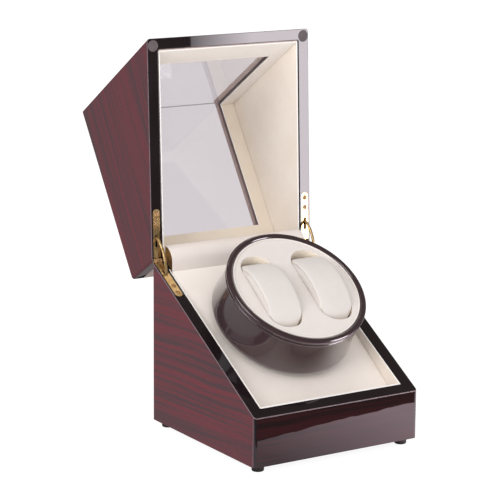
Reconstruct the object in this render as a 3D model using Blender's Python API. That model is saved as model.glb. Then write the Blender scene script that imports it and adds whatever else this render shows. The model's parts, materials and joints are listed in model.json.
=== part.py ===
"""A watch winder box: a lacquered case with a slanted rim, a windowed lid held open by two brass
quadrant hinges, and a tilted motor-driven drum that carries two watch cuffs.

Metres, +Z up. The origin is on the surface the feet stand on, under the middle of the open box.
The lid is drawn closed in its own frame, which is then turned back to the open position.
"""

from math import atan2, cos, pi, radians, sin, tan

import bmesh
import bpy
from mathutils import Matrix, Vector

# Case and lid
WIDTH = 0.175
DEPTH = 0.175
BACK_HEIGHT = 0.150
FRONT_HEIGHT = 0.045
CLOSED_HEIGHT = 0.194
SIDE_WALL = 0.0118
END_WALL = 0.0094
BASE_THICKNESS = 0.006
FOOT_HEIGHT = 0.006
FOOT_RADIUS = 0.0055
FOOT_INSET = 0.0105
OPEN_LEAN = radians(2.3)
SLOPE = atan2(BACK_HEIGHT - FRONT_HEIGHT, DEPTH)
OPEN_ANGLE = pi / 2 + OPEN_LEAN + SLOPE
LID_HEIGHT = CLOSED_HEIGHT - BACK_HEIGHT

# Clearances
GAP = 0.0003
RIM_GAP = 0.00025

# Lining and windows
LINING = 0.0012
GLUE = 0.0002
LINING_SIDE = WIDTH / 2 - SIDE_WALL - GLUE
WINDOW_HALF_WIDTH = 0.0593
WINDOW_SILL = 0.0340
WINDOW_BACK_RAIL = 0.0350
PANE = 0.0026
PANE_DEPTH = 0.0053
REBATE = 0.003
COVER_RADIUS = 0.0134
COVE_RADIUS = 0.0139
COVER_SKIRT = 0.009

# Hinges
HINGE_X = 0.0818
LEAF_HALF_WIDTH = 0.0036
LEAF_LENGTH = 0.048
LEAF_THICKNESS = 0.002
LEAF_START = 0.003
KNUCKLE_RADIUS = 0.0024
PIN_RADIUS = 0.0009
SCREW_PLACES = (0.0339, 0.0430)
SCREW_HEAD_RADIUS = 0.0021
SCREW_RADIUS = 0.00105
SCREW_LENGTH = 0.0090
STAY_THICKNESS = 0.002
STAY_WIDTH = 0.0022
STAY_LOW, STAY_HIGH = radians(-45), radians(102)
CASE_SLOT = (0.0128, 0.0200)
LID_SLOT = (0.0125, 0.0238)
BUMPER_RADIUS = 0.0052
BUMPER_PLACE = 0.1970

# Tilted drum module. Heights are measured from the deck along the drum's axis.
MODULE_TILT = radians(35.8)
DECK_BACK_HEIGHT = 0.1420
DECK_THICKNESS = 0.006
FACE_CENTRE = (0.0674, 0.1367)
FACE_RADIUS = 0.0605
FACE_THICKNESS = 0.004
BEAD_OUTER = 0.0666
CUP_TOP_RADIUS = 0.0648
CUP_TOP = 0.0439
CUP_BELLY_RADIUS = 0.0674
CUP_BELLY = 0.0125
CUP_BOTTOM = 0.0015
CUP_WALL = 0.0025
SHAFT_RADIUS = 0.003
BORE_RADIUS = 0.0032
POCKET_X = 0.027
POCKET_HALF_WIDTH = 0.0168
POCKET_HALF_LENGTH = 0.0425
POCKET_CORNER = 0.0155
POCKET_FLOOR = 0.022
POCKET_WALL = 0.0015
CUFF_SIDE_PLAY = 0.0006
CUFF_HALF_LENGTH = 0.0395
CUFF_RISE = 0.010
CUFF_ARCH = 0.024
CUFF_THICKNESS = 0.010

# Drive and rear controls
GEARBOX_OFFSET = 0.007
GEARBOX_RADIUS = 0.0185
GEARBOX_LENGTH = 0.022
GEARBOX_SCREW_X = 0.0148
MOTOR_RADIUS = 0.0165
MOTOR_LENGTH = 0.0295
CONTROLS_HEIGHT = 0.030
PLATE_HALF_WIDTH = 0.031
PLATE_HALF_HEIGHT = 0.014
PLATE_THICKNESS = 0.002
OPENING_HALF_WIDTH = 0.027
OPENING_HALF_HEIGHT = 0.0105
INLET_X, SWITCH_X, KNOB_X = -0.017, 0.0, 0.017
SWITCH_TILT = radians(8)

ROUND = 48


# ---------------------------------------------------------------- drawing helpers


def clear_scene():
    for old in list(bpy.data.objects):
        bpy.data.objects.remove(old, do_unlink=True)


def material(name, colour, roughness, metallic=0.0, alpha=1.0):
    made = bpy.data.materials.new(name)
    made.use_nodes = True
    shader = made.node_tree.nodes["Principled BSDF"]
    shader.inputs["Base Color"].default_value = (*colour, 1.0)
    shader.inputs["Roughness"].default_value = roughness
    shader.inputs["Metallic"].default_value = metallic
    shader.inputs["Alpha"].default_value = alpha
    made.diffuse_color = (*colour, alpha)
    return made


def frame(name, parent=None, matrix=None):
    """An empty that other pieces hang from."""
    empty = bpy.data.objects.new(name, None)
    bpy.context.scene.collection.objects.link(empty)
    empty.parent = parent
    empty.matrix_local = matrix or Matrix()
    return empty


def place(name, shape, look, parent, smooth=None):
    """Turns a bmesh into an object with one material. smooth is the sharp-edge angle of a round piece."""
    bmesh.ops.recalc_face_normals(shape, faces=shape.faces)
    mesh = bpy.data.meshes.new(name)
    shape.to_mesh(mesh)
    shape.free()
    if smooth is not None:
        mesh.shade_smooth()
        mesh.set_sharp_from_angle(angle=smooth)
    item = bpy.data.objects.new(name, mesh)
    bpy.context.scene.collection.objects.link(item)
    item.parent = parent
    if look:
        mesh.materials.append(look)
    else:
        item.hide_render = True
        item.display_type = "WIRE"
    return item


def boolean(item, operation, *tools):
    for tool in tools:
        change = item.modifiers.new(tool.name, "BOOLEAN")
        change.operation = operation
        change.solver = "EXACT"
        change.object = tool
    return item


def cut(item, *tools):
    return boolean(item, "DIFFERENCE", *tools)


def join(item, *tools):
    return boolean(item, "UNION", *tools)


def loft(first, second):
    """A solid between two outlines with the same number of points."""
    shape = bmesh.new()
    low = [shape.verts.new(point) for point in first]
    high = [shape.verts.new(point) for point in second]
    shape.faces.new(low)
    shape.faces.new(high)
    for index in range(len(low)):
        following = (index + 1) % len(low)
        shape.faces.new((low[index], low[following], high[following], high[index]))
    return shape


def prism_x(outline, low, high):
    """An outline of (y, z) points, extruded along X."""
    return loft([(low, y, z) for y, z in outline], [(high, y, z) for y, z in outline])


def prism_y(outline, low, high):
    return loft([(x, low, z) for x, z in outline], [(x, high, z) for x, z in outline])


def prism_z(outline, low, high):
    return loft([(x, y, low) for x, y in outline], [(x, y, high) for x, y in outline])


def rectangle(left, right, low, high):
    return [(left, low), (right, low), (right, high), (left, high)]


def box(x, y, z):
    """Each argument is a (low, high) pair."""
    return prism_z(rectangle(*x, *y), *z)


def arc(centre, radii, start, end, steps):
    """Points of an ellipse arc, ends included. Angles in radians."""
    wide, tall = radii
    turns = [start + (end - start) * step / steps for step in range(steps + 1)]
    return [(centre[0] + wide * cos(turn), centre[1] + tall * sin(turn)) for turn in turns]


def rounded_rectangle(centre, half_width, half_length, corner, steps=6):
    outline = []
    for quarter, (side, end) in enumerate([(1, 1), (-1, 1), (-1, -1), (1, -1)]):
        middle = (centre[0] + side * (half_width - corner), centre[1] + end * (half_length - corner))
        outline += arc(middle, (corner, corner), quarter * pi / 2, (quarter + 1) * pi / 2, steps)
    return outline


def turned(profile, segments=ROUND):
    """A closed outline of (radius, height) points spun about Z."""
    shape = bmesh.new()
    verts = [shape.verts.new((radius, 0, height)) for radius, height in profile]
    edges = [shape.edges.new((vert, verts[(n + 1) % len(verts)])) for n, vert in enumerate(verts)]
    bmesh.ops.spin(
        shape, geom=verts + edges, cent=(0, 0, 0), axis=(0, 0, 1), angle=2 * pi, steps=segments
    )
    bmesh.ops.remove_doubles(shape, verts=shape.verts, dist=1e-6)
    bmesh.ops.dissolve_degenerate(shape, edges=shape.edges, dist=1e-7)
    return shape


def rod(radius, low, high, segments=24):
    circle = arc((0, 0), (radius, radius), 0, 2 * pi * (1 - 1 / segments), segments - 1)
    return prism_z(circle, low, high)


def along(axis, shape):
    """Turns a shape drawn along Z so that it lies along X or Y."""
    turn = Matrix.Rotation(pi / 2, 4, "Y") if axis == "X" else Matrix.Rotation(-pi / 2, 4, "X")
    bmesh.ops.transform(shape, matrix=turn, verts=shape.verts)
    return shape


def moved(shape, x=0.0, y=0.0, z=0.0):
    bmesh.ops.translate(shape, vec=Vector((x, y, z)), verts=shape.verts)
    return shape


def rim_height(y):
    """Height of the case's rim above its underside, y metres behind its front face."""
    return BACK_HEIGHT - (DEPTH - y) * tan(SLOPE) - RIM_GAP / cos(SLOPE)


def lid_rim_height(y):
    """Height of the closed lid's rim above the hinge axis, y metres in front of it as a minus."""
    return y * tan(SLOPE) + RIM_GAP / cos(SLOPE)


def deck_height(y):
    back = DEPTH - COVER_RADIUS
    return DECK_BACK_HEIGHT - (back - y) * tan(MODULE_TILT)


# ---------------------------------------------------------------- frames


def far_corner():
    """How far behind the hinge the open lid reaches."""
    return -DEPTH * cos(OPEN_ANGLE) + LID_HEIGHT * sin(OPEN_ANGLE)


def make_frames():
    open_depth = DEPTH + far_corner()
    case = frame("case_frame", matrix=Matrix.Translation((0, -open_depth / 2, FOOT_HEIGHT)))
    hinge = Matrix.Translation((0, DEPTH, BACK_HEIGHT))
    lid = frame("lid_frame", case, hinge @ Matrix.Rotation(-OPEN_ANGLE, 4, "X"))
    stay = frame("stay_frame", case, hinge)
    # leaf frames: Y runs along the rim away from the hinge, Z goes into the wood
    along_rim = Matrix.Rotation(pi + SLOPE, 4, "X")
    case_leaf = frame("case_leaf_frame", case, hinge @ along_rim)
    lid_leaf = frame("lid_leaf_frame", lid, along_rim @ Matrix.Rotation(pi, 4, "Y"))
    face_y, face_z = FACE_CENTRE
    back = DEPTH - COVER_RADIUS
    height = (back - face_y) * sin(MODULE_TILT) - (DECK_BACK_HEIGHT - face_z) * cos(MODULE_TILT)
    foot = (0, face_y + height * sin(MODULE_TILT), face_z - height * cos(MODULE_TILT))
    drum = frame("drum_frame", case, Matrix.Translation(foot) @ Matrix.Rotation(MODULE_TILT, 4, "X"))
    return case, lid, stay, case_leaf, lid_leaf, drum, height


# ---------------------------------------------------------------- case


def side_board(name, side, outer, inner, look, parent):
    out_x, in_x = side * WIDTH / 2, side * (WIDTH / 2 - SIDE_WALL)
    shape = loft([(out_x, y, z) for y, z in outer], [(in_x, y, z) for y, z in inner])
    return place(name, shape, look, parent)


def make_case(case, looks):
    inside_x = WIDTH / 2 - SIDE_WALL
    veneer = looks["veneer"]
    front, back = END_WALL, DEPTH
    outer = [(0, 0), (DEPTH, 0), (DEPTH, rim_height(DEPTH)), (0, rim_height(0))]
    inner = [(front, 0), (back, 0), (back, rim_height(back)), (front, rim_height(front))]
    sides = {
        "left": side_board("case_left", -1, outer, inner, veneer, case),
        "right": side_board("case_right", 1, outer, inner, veneer, case),
    }
    wide, narrow = WIDTH / 2 - GAP, inside_x - GAP
    front_outer = rectangle(-wide, wide, 0, rim_height(0))
    front_inner = rectangle(-narrow, narrow, 0, rim_height(END_WALL))
    shape = loft([(x, 0, z) for x, z in front_outer], [(x, END_WALL, z) for x, z in front_inner])
    place("case_front", shape, veneer, case)
    inside_y = DEPTH - END_WALL
    outline = [(inside_y, 0), (DEPTH, 0), (DEPTH, rim_height(DEPTH)), (inside_y, rim_height(inside_y))]
    back_board = place("case_back", prism_x(outline, -narrow, narrow), veneer, case)
    opening = box(
        (-OPENING_HALF_WIDTH, OPENING_HALF_WIDTH),
        (inside_y - 0.002, DEPTH + 0.002),
        (CONTROLS_HEIGHT - OPENING_HALF_HEIGHT, CONTROLS_HEIGHT + OPENING_HALF_HEIGHT),
    )
    cut(back_board, place("controls_opening", opening, None, case))
    base = box((-narrow, narrow), (END_WALL + GAP, inside_y - GAP), (0, BASE_THICKNESS))
    place("base_board", base, looks["black_board"], case)
    return sides


def make_feet(case, looks):
    across = WIDTH / 2 - FOOT_INSET
    profile = [(0, -FOOT_HEIGHT), (FOOT_RADIUS - 0.0008, -FOOT_HEIGHT), (FOOT_RADIUS, -FOOT_HEIGHT + 0.0008)]
    profile += [(FOOT_RADIUS, -GAP), (0, -GAP)]
    for end, y in (("front", FOOT_INSET), ("back", DEPTH - FOOT_INSET)):
        for side, x in (("left", -across), ("right", across)):
            shape = moved(turned(profile, 24), x, y)
            place(f"foot_{end}_{side}", shape, looks["rubber"], case, radians(40))


def make_lining(case, looks):
    leather = looks["leather"]
    inner_x = LINING_SIDE - LINING
    front_y, back_y = END_WALL + GLUE, DEPTH - END_WALL - GAP
    below = DECK_THICKNESS / cos(MODULE_TILT)
    strip = [
        (front_y, deck_height(front_y) - below),
        (back_y, deck_height(back_y) - below),
        (back_y, rim_height(back_y) - GAP),
        (front_y, rim_height(front_y) - GAP),
    ]
    for name, side in (("left", -1), ("right", 1)):
        ends = sorted((side * inner_x, side * LINING_SIDE))
        place(f"lining_{name}", prism_x(strip, *ends), leather, case)
    half = inner_x - GAP
    front_back = front_y + LINING
    outline = [
        (front_y, deck_height(front_y) - below),
        (front_back, deck_height(front_back) - below),
        (front_back, rim_height(front_back) - GAP),
        (front_y, rim_height(front_y) - GAP),
    ]
    place("lining_front", prism_x(outline, -half, half), leather, case)
    # hinge cover: a rounded strip about the hinge axis, with a skirt down to the deck
    wood_y = -END_WALL - GAP
    under = [(0, GAP), (wood_y, wood_y * tan(SLOPE) + GAP / cos(SLOPE) - RIM_GAP / cos(SLOPE))]
    cover = [(-COVER_RADIUS, -COVER_SKIRT)] + arc((0, 0), (COVER_RADIUS, COVER_RADIUS), pi, pi / 2, 12)
    cover += under + [(wood_y, -COVER_SKIRT)]
    cover = [(DEPTH + y, BACK_HEIGHT + z) for y, z in cover]
    place("hinge_cover", prism_x(cover, -half, half), leather, case, radians(30))


def make_deck(case, drum, looks):
    half = LINING_SIDE - LINING - GAP
    front_y = END_WALL + GLUE + LINING + GAP
    back_y = DEPTH - COVER_RADIUS - GAP
    below = DECK_THICKNESS / cos(MODULE_TILT)
    outline = [
        (front_y, deck_height(front_y) - below),
        (back_y, deck_height(back_y) - below),
        (back_y, deck_height(back_y)),
        (front_y, deck_height(front_y)),
    ]
    deck = place("deck", prism_x(outline, -half, half), looks["leather"], case)
    hole = rod(BORE_RADIUS + 0.0018, -DECK_THICKNESS - 0.002, 0.002)
    cut(deck, place("shaft_hole", hole, None, drum))
    for side, x in (("left", -GEARBOX_SCREW_X), ("right", GEARBOX_SCREW_X)):
        profile = [(0, 0.002), (0, -0.012), (0.0017, -0.012), (0.0017, -0.0024), (0.003, -0.0024)]
        seat = turned(profile + [(0.003, 0.002)], 16)
        cut(deck, place(f"screw_seat_{side}", moved(seat, x, -GEARBOX_OFFSET), None, drum))
    return deck


# ---------------------------------------------------------------- lid, drawn closed about the hinge axis


def make_lid(lid, looks):
    veneer = looks["veneer"]
    top, front = LID_HEIGHT, -DEPTH
    inner_top, inner_front, inner_back = top - END_WALL, front + END_WALL, -END_WALL
    outer = [(front, lid_rim_height(front)), (0, lid_rim_height(0)), (0, top), (front, top)]
    inner = [
        (inner_front, lid_rim_height(inner_front)),
        (0, lid_rim_height(0)),
        (0, inner_top),
        (inner_front, inner_top),
    ]
    sides = {
        "left": side_board("lid_left", -1, outer, inner, veneer, lid),
        "right": side_board("lid_right", 1, outer, inner, veneer, lid),
    }
    wide, narrow = WIDTH / 2 - GAP, WIDTH / 2 - SIDE_WALL - GAP
    outline_out = rectangle(-wide, wide, lid_rim_height(front), top - GAP)
    outline_in = rectangle(-narrow, narrow, lid_rim_height(inner_front), inner_top - GAP)
    shape = loft([(x, front, z) for x, z in outline_out], [(x, inner_front, z) for x, z in outline_in])
    front_board = place("lid_front", shape, veneer, lid)
    outline_out = rectangle(-wide, wide, front, 0)
    outline_in = rectangle(-narrow, narrow, inner_front, inner_back)
    shape = loft([(x, y, top) for x, y in outline_out], [(x, y, inner_top) for x, y in outline_in])
    top_board = place("lid_top", shape, veneer, lid)
    # the back board has a cove that clears the hinge cover
    cove_end = pi - atan2((COVE_RADIUS**2 - END_WALL**2) ** 0.5, END_WALL)
    outline = arc((0, 0), (COVE_RADIUS, COVE_RADIUS), pi / 2, cove_end, 8)
    outline += [(inner_back, inner_top - GAP), (0, top - GAP)]
    place("lid_back", prism_x(outline, -narrow, narrow), veneer, lid, radians(30))
    cut_windows(lid, front_board, top_board)
    return sides, front_board


def cut_windows(lid, front_board, top_board):
    """The window wraps the lid's front top edge. Each board is cut through, and rebated inside."""
    half, deep = WINDOW_HALF_WIDTH, PANE_DEPTH - GAP
    top, front, over = LID_HEIGHT, -DEPTH, 0.004
    sill = lid_rim_height(front) + WINDOW_SILL
    rail = -WINDOW_BACK_RAIL
    wide = half + REBATE
    through_front = box((-half, half), (front - over, front + END_WALL + over), (sill, top + over))
    rebate_front = box((-wide, wide), (front + deep, front + END_WALL + over), (sill - REBATE, top + over))
    cut(front_board, place("front_opening", through_front, None, lid))
    cut(front_board, place("front_rebate", rebate_front, None, lid))
    through_top = box((-half, half), (front - over, rail), (top - END_WALL - over, top + over))
    rebate_top = box((-wide, wide), (front - over, rail + REBATE), (top - END_WALL - over, top - deep))
    cut(top_board, place("top_opening", through_top, None, lid))
    cut(top_board, place("top_rebate", rebate_top, None, lid))


def make_windows(lid, looks):
    wide = WINDOW_HALF_WIDTH + REBATE - GAP
    top, front = LID_HEIGHT, -DEPTH
    sill = lid_rim_height(front) + WINDOW_SILL - REBATE + GAP
    pane_top = top - PANE_DEPTH
    face = (front + PANE_DEPTH, front + PANE_DEPTH + PANE)
    shape = box((-wide, wide), face, (sill, pane_top - PANE - GAP))
    place("window_front", shape, looks["glass"], lid)
    back = -WINDOW_BACK_RAIL + REBATE - GAP
    place("window_top", box((-wide, wide), (face[0], back), (pane_top - PANE, pane_top)), looks["glass"], lid)


def make_lid_lining(lid, looks):
    leather = looks["leather"]
    top, front = LID_HEIGHT, -DEPTH
    near = END_WALL + GLUE
    y_front, y_back, z_top = front + near, -near, top - near
    cove_edge = (COVE_RADIUS**2 - near**2) ** 0.5
    side_outline = [
        (y_front, lid_rim_height(y_front) + GAP),
        (y_back - LINING, lid_rim_height(y_back - LINING) + GAP),
        (y_back, lid_rim_height(y_back) + GAP),
        (y_back, z_top),
        (y_front, z_top),
    ]
    for name, side in (("left", -1), ("right", 1)):
        ends = sorted((side * (LINING_SIDE - LINING), side * LINING_SIDE))
        place(f"lid_lining_{name}", prism_x(side_outline, *ends), leather, lid)
    half = LINING_SIDE - LINING - GAP
    opening = WINDOW_HALF_WIDTH
    sill = lid_rim_height(front) + WINDOW_SILL
    low = lid_rim_height(y_front) + GAP
    high = z_top - LINING - GAP
    front_outline = [(-half, low), (half, low), (half, high), (opening, high), (opening, sill)]
    front_outline += [(-opening, sill), (-opening, high), (-half, high)]
    place("lid_lining_front", prism_y(front_outline, y_front, y_front + LINING), leather, lid)
    rail = -WINDOW_BACK_RAIL
    top_outline = [(-half, y_back), (half, y_back), (half, y_front), (opening, y_front), (opening, rail)]
    top_outline += [(-opening, rail), (-opening, y_front), (-half, y_front)]
    place("lid_lining_top", prism_z(top_outline, z_top - LINING, z_top), leather, lid)
    back_outline = [(y_back, cove_edge), (y_back, high), (y_back - LINING, high)]
    back_outline += [(y_back - LINING, (COVE_RADIUS**2 - (near + LINING) ** 2) ** 0.5)]
    place("lid_lining_back", prism_x(back_outline, -half, half), leather, lid)


# ---------------------------------------------------------------- hinges, bumpers and stays


def leaf_outline(half_width, start, end, steps=8):
    """A strip with one round end, from start to end along Y."""
    middle = end - half_width
    return [(-half_width, start), (half_width, start)] + arc(
        (0, middle), (half_width, half_width), 0, pi, steps
    )


def stay_radius(turn):
    """Distance of the stay's centre line from the hinge axis: it bows out towards both ends."""
    return 0.0139 + 0.0068 * ((turn - radians(22)) / radians(70)) ** 2


def stay_points(offset, steps=20):
    points = []
    for step in range(steps + 1):
        turn = STAY_LOW + (STAY_HIGH - STAY_LOW) * step / steps
        radius = stay_radius(turn) + offset
        points.append((-radius * cos(turn), radius * sin(turn)))
    return points


def stay_room(angles, radii, half_width):
    """The pocket a stay slides in: a sector about the hinge axis, angles as for stay_radius."""
    inner = arc((0, 0), (radii[0], radii[0]), pi - angles[0], pi - angles[1], 8)
    outer = arc((0, 0), (radii[1], radii[1]), pi - angles[1], pi - angles[0], 8)
    return prism_x(inner + outer, -half_width, half_width)


def make_leaf(name, knuckles, slot, leaf_frame, x, board, looks):
    """A brass leaf let into a board's rim, with its knuckles, and what it takes out of the board."""
    thick = (RIM_GAP, RIM_GAP + LEAF_THICKNESS)
    plate = prism_z(leaf_outline(LEAF_HALF_WIDTH, LEAF_START, LEAF_LENGTH), *thick)
    leaf = place(name, moved(plate, x), looks["brass"], leaf_frame, radians(40))
    for number, (low, high) in enumerate(knuckles):
        tongue = box((x + low, x + high), (-0.0002, LEAF_START + 0.001), thick)
        join(leaf, place(f"{name}_tongue_{number}", tongue, None, leaf_frame))
        barrel = moved(along("X", rod(KNUCKLE_RADIUS, low, high, 16)), x)
        join(leaf, place(f"{name}_barrel_{number}", barrel, None, leaf_frame))
    bore = moved(along("X", rod(PIN_RADIUS + 0.00025, -0.006, 0.006, 12)), x)
    slit = box((x - 0.0015, x + 0.0015), slot, (-0.001, 0.004))
    cut(leaf, place(f"{name}_bore", bore, None, leaf_frame))
    cut(leaf, place(f"{name}_slot", slit, None, leaf_frame))
    outline = leaf_outline(LEAF_HALF_WIDTH + GAP, -0.006, LEAF_LENGTH + GAP)
    room = prism_z(outline, -0.002, RIM_GAP + LEAF_THICKNESS + GAP)
    cut(board, place(f"{name}_recess", moved(room, x), None, leaf_frame))
    reach = LEAF_HALF_WIDTH + GAP
    notch = moved(along("X", rod(KNUCKLE_RADIUS + 0.0005, -reach, reach, 16)), x)
    cut(board, place(f"{name}_notch", notch, None, leaf_frame))
    for number, y in enumerate(SCREW_PLACES):
        hole = moved(rod(SCREW_HEAD_RADIUS + GAP, -0.001, 0.004, 16), x, y)
        cut(leaf, place(f"{name}_hole_{number}", hole, None, leaf_frame))
        pilot = moved(rod(SCREW_RADIUS + GAP, 0, SCREW_LENGTH + 0.0006, 12), x, y)
        cut(board, place(f"{name}_pilot_{number}", pilot, None, leaf_frame))
        make_leaf_screw(f"{name}_screw_{number + 1}", leaf_frame, x, y, looks)
    return leaf


def make_leaf_screw(name, leaf_frame, x, y, looks):
    top, shoulder = RIM_GAP + 0.0001, RIM_GAP + 0.0014
    profile = [(0, top), (SCREW_HEAD_RADIUS, top), (SCREW_HEAD_RADIUS, top + 0.0003)]
    profile += [(SCREW_RADIUS, shoulder), (SCREW_RADIUS, SCREW_LENGTH), (0, SCREW_LENGTH)]
    place(name, moved(turned(profile, 12), x, y), looks["brass"], leaf_frame, radians(40))


def make_hinges(case, lid, stay_frame, case_leaf, lid_leaf, boards, looks):
    case_boards, lid_boards = boards
    outer_knuckles = [(-0.0036, -0.0015), (0.0015, 0.0036)]
    middle_knuckle = [(-0.0012, 0.0012)]
    for side, x in (("left", -HINGE_X), ("right", HINGE_X)):
        board = case_boards[side]
        make_leaf(f"case_leaf_{side}", outer_knuckles, CASE_SLOT, case_leaf, x, board, looks)
        # the lid's leaf frame faces the other way, so X changes sign
        board = lid_boards[side]
        make_leaf(f"lid_leaf_{side}", middle_knuckle, LID_SLOT, lid_leaf, -x, board, looks)
        pin = moved(along("X", rod(PIN_RADIUS, -0.0038, 0.0038, 12)), x)
        place(f"hinge_pin_{side}", pin, looks["brass"], stay_frame, radians(40))
        outline = stay_points(-STAY_THICKNESS / 2) + stay_points(STAY_THICKNESS / 2)[::-1]
        bar = prism_x(outline, x - STAY_WIDTH / 2, x + STAY_WIDTH / 2)
        place(f"stay_{side}", bar, looks["brass"], stay_frame, radians(40))
        room = stay_room((radians(-78), radians(-20)), (0.0121, 0.0226), 0.0015)
        cut(case_boards[side], place(f"stay_room_case_{side}", moved(room, x), None, stay_frame))
        room = stay_room((radians(-41), radians(80)), (0.0121, 0.0246), 0.0015)
        cut(lid_boards[side], place(f"stay_room_lid_{side}", moved(room, x), None, lid))


def make_bumpers(lid_leaf, lid_boards, front_board, looks):
    """A disc in each front corner of the lid's rim, across the joint of two boards."""
    for side, x in (("left", WIDTH / 2 - 0.006), ("right", -WIDTH / 2 + 0.006)):
        disc = moved(rod(BUMPER_RADIUS, RIM_GAP - 0.0004, 0.0018), x, BUMPER_PLACE)
        place(f"bumper_{side}", disc, looks["bumper"], lid_leaf, radians(40))
        seat = moved(rod(BUMPER_RADIUS + GAP, -0.001, 0.0018 + GAP), x, BUMPER_PLACE)
        hollow = place(f"bumper_seat_{side}", seat, None, lid_leaf)
        cut(lid_boards[side], hollow)
        cut(front_board, hollow)


# ---------------------------------------------------------------- drum and cuffs, heights above the deck


def make_cup(drum, looks):
    corner = CUP_BELLY_RADIUS - 0.0134
    outside = [(BORE_RADIUS, CUP_BOTTOM)]
    outside += arc((corner, CUP_BELLY), (0.0134, CUP_BELLY - CUP_BOTTOM), -pi / 2, 0, 8)
    outside += [(CUP_TOP_RADIUS + 0.0008, 0.030), (CUP_TOP_RADIUS, CUP_TOP)]
    inside = [(CUP_TOP_RADIUS - CUP_WALL, CUP_TOP), (CUP_TOP_RADIUS + 0.0008 - CUP_WALL, 0.030)]
    inside += arc((corner, CUP_BELLY), (0.0134 - CUP_WALL, CUP_BELLY - CUP_BOTTOM - CUP_WALL), 0, -pi / 2, 6)
    hub = [(0.009, CUP_BOTTOM + CUP_WALL), (0.008, 0.012), (BORE_RADIUS, 0.012)]
    place("drum_cup", turned(outside + inside + hub), looks["black_gloss"], drum, radians(35))


def make_bead(drum, face_height, looks):
    """The upper bead covers the face's edge, and a smaller one hides the joint with the cup."""
    inner = FACE_RADIUS + GAP
    middle, half = (inner + BEAD_OUTER) / 2, (BEAD_OUTER - inner) / 2
    low = CUP_TOP + GAP
    outline = [(inner, low)]
    outline += arc((middle, face_height - 0.0006), (half, 0.0026), pi, -pi / 3, 11)
    outline += arc((BEAD_OUTER - 0.0022, low + 0.0015), (0.0015, 0.0015), pi / 3, -pi / 2, 5)
    place("drum_bead", turned(outline), looks["black_gloss"], drum, radians(50))


def make_insert(drum, face_height, looks):
    """The cream face with a pocket under each slot, moulded in one."""
    disc = rod(FACE_RADIUS, face_height - FACE_THICKNESS, face_height, ROUND)
    face = place("drum_insert", disc, looks["leather"], drum, radians(30))
    bottom = POCKET_FLOOR - POCKET_WALL
    for side, x in (("left", -POCKET_X), ("right", POCKET_X)):
        size = (POCKET_HALF_WIDTH, POCKET_HALF_LENGTH, POCKET_CORNER)
        outer = rounded_rectangle((x, 0), *(length + POCKET_WALL for length in size))
        block = prism_z(outer, bottom, face_height - 0.001)
        join(face, place(f"pocket_{side}", block, None, drum))
    for side, x in (("left", -POCKET_X), ("right", POCKET_X)):
        slot = rounded_rectangle((x, 0), POCKET_HALF_WIDTH, POCKET_HALF_LENGTH, POCKET_CORNER)
        cut(face, place(f"slot_{side}", prism_z(slot, POCKET_FLOOR, face_height + 0.01), None, drum))


def make_cuffs(drum, face_height, looks):
    """Each cuff is an arch of padded leather that a watch strap closes around."""
    middle = face_height + CUFF_RISE - CUFF_ARCH
    foot = POCKET_FLOOR + 0.0005
    inner_length, inner_arch = CUFF_HALF_LENGTH - CUFF_THICKNESS, CUFF_ARCH - CUFF_THICKNESS
    outline = [(CUFF_HALF_LENGTH, foot)]
    outline += arc((0, middle), (CUFF_HALF_LENGTH, CUFF_ARCH), 0, pi, 22)
    outline += [(-CUFF_HALF_LENGTH, foot), (-inner_length, foot)]
    outline += arc((0, middle), (inner_length, inner_arch), pi, 0, 14)
    outline += [(inner_length, foot)]
    half = POCKET_HALF_WIDTH - CUFF_SIDE_PLAY
    for side, x in (("left", -POCKET_X), ("right", POCKET_X)):
        arch = prism_x(outline, x - half, x + half)
        cuff = place(f"cuff_{side}", arch, looks["leather"], drum, radians(30))
        plan = rounded_rectangle((x, 0), half - 0.0001, CUFF_HALF_LENGTH + 0.0001, POCKET_CORNER - 0.001)
        bounds = prism_z(plan, 0, face_height + 0.02)
        boolean(cuff, "INTERSECT", place(f"cuff_plan_{side}", bounds, None, drum))


def make_drive(drum, looks):
    place("drum_shaft", rod(SHAFT_RADIUS, -0.0160, 0.0165), looks["steel"], drum, radians(30))
    nut = place("drum_nut", rod(0.0055, 0.0123, 0.0155, 6), looks["steel"], drum)
    cut(nut, place("nut_thread", rod(BORE_RADIUS, 0.010, 0.018), None, drum))
    top = -DECK_THICKNESS - GAP
    housing = moved(rod(GEARBOX_RADIUS, top - GEARBOX_LENGTH, top, 32), 0, -GEARBOX_OFFSET)
    gearbox = place("gearbox", housing, looks["steel"], drum, radians(30))
    cut(gearbox, place("gearbox_bore", rod(BORE_RADIUS, -0.0165, 0), None, drum))
    low = top - GEARBOX_LENGTH - GAP
    can = moved(rod(MOTOR_RADIUS, low - MOTOR_LENGTH, low, 32), 0, -GEARBOX_OFFSET)
    place("motor", can, looks["steel"], drum, radians(30))
    for side, x in (("left", -GEARBOX_SCREW_X), ("right", GEARBOX_SCREW_X)):
        hole = moved(rod(0.0017, -0.0120, 0, 16), x, -GEARBOX_OFFSET)
        cut(gearbox, place(f"gearbox_hole_{side}", hole, None, drum))
        profile = [(0, -0.0002), (0.0026, -0.0002), (0.0026, -0.0020), (0.0014, -0.0020)]
        profile += [(0.0014, -0.0115), (0, -0.0115)]
        screw = moved(turned(profile, 16), x, -GEARBOX_OFFSET)
        place(f"gearbox_screw_{side}", screw, looks["steel"], drum, radians(30))


# ---------------------------------------------------------------- rear controls


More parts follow.
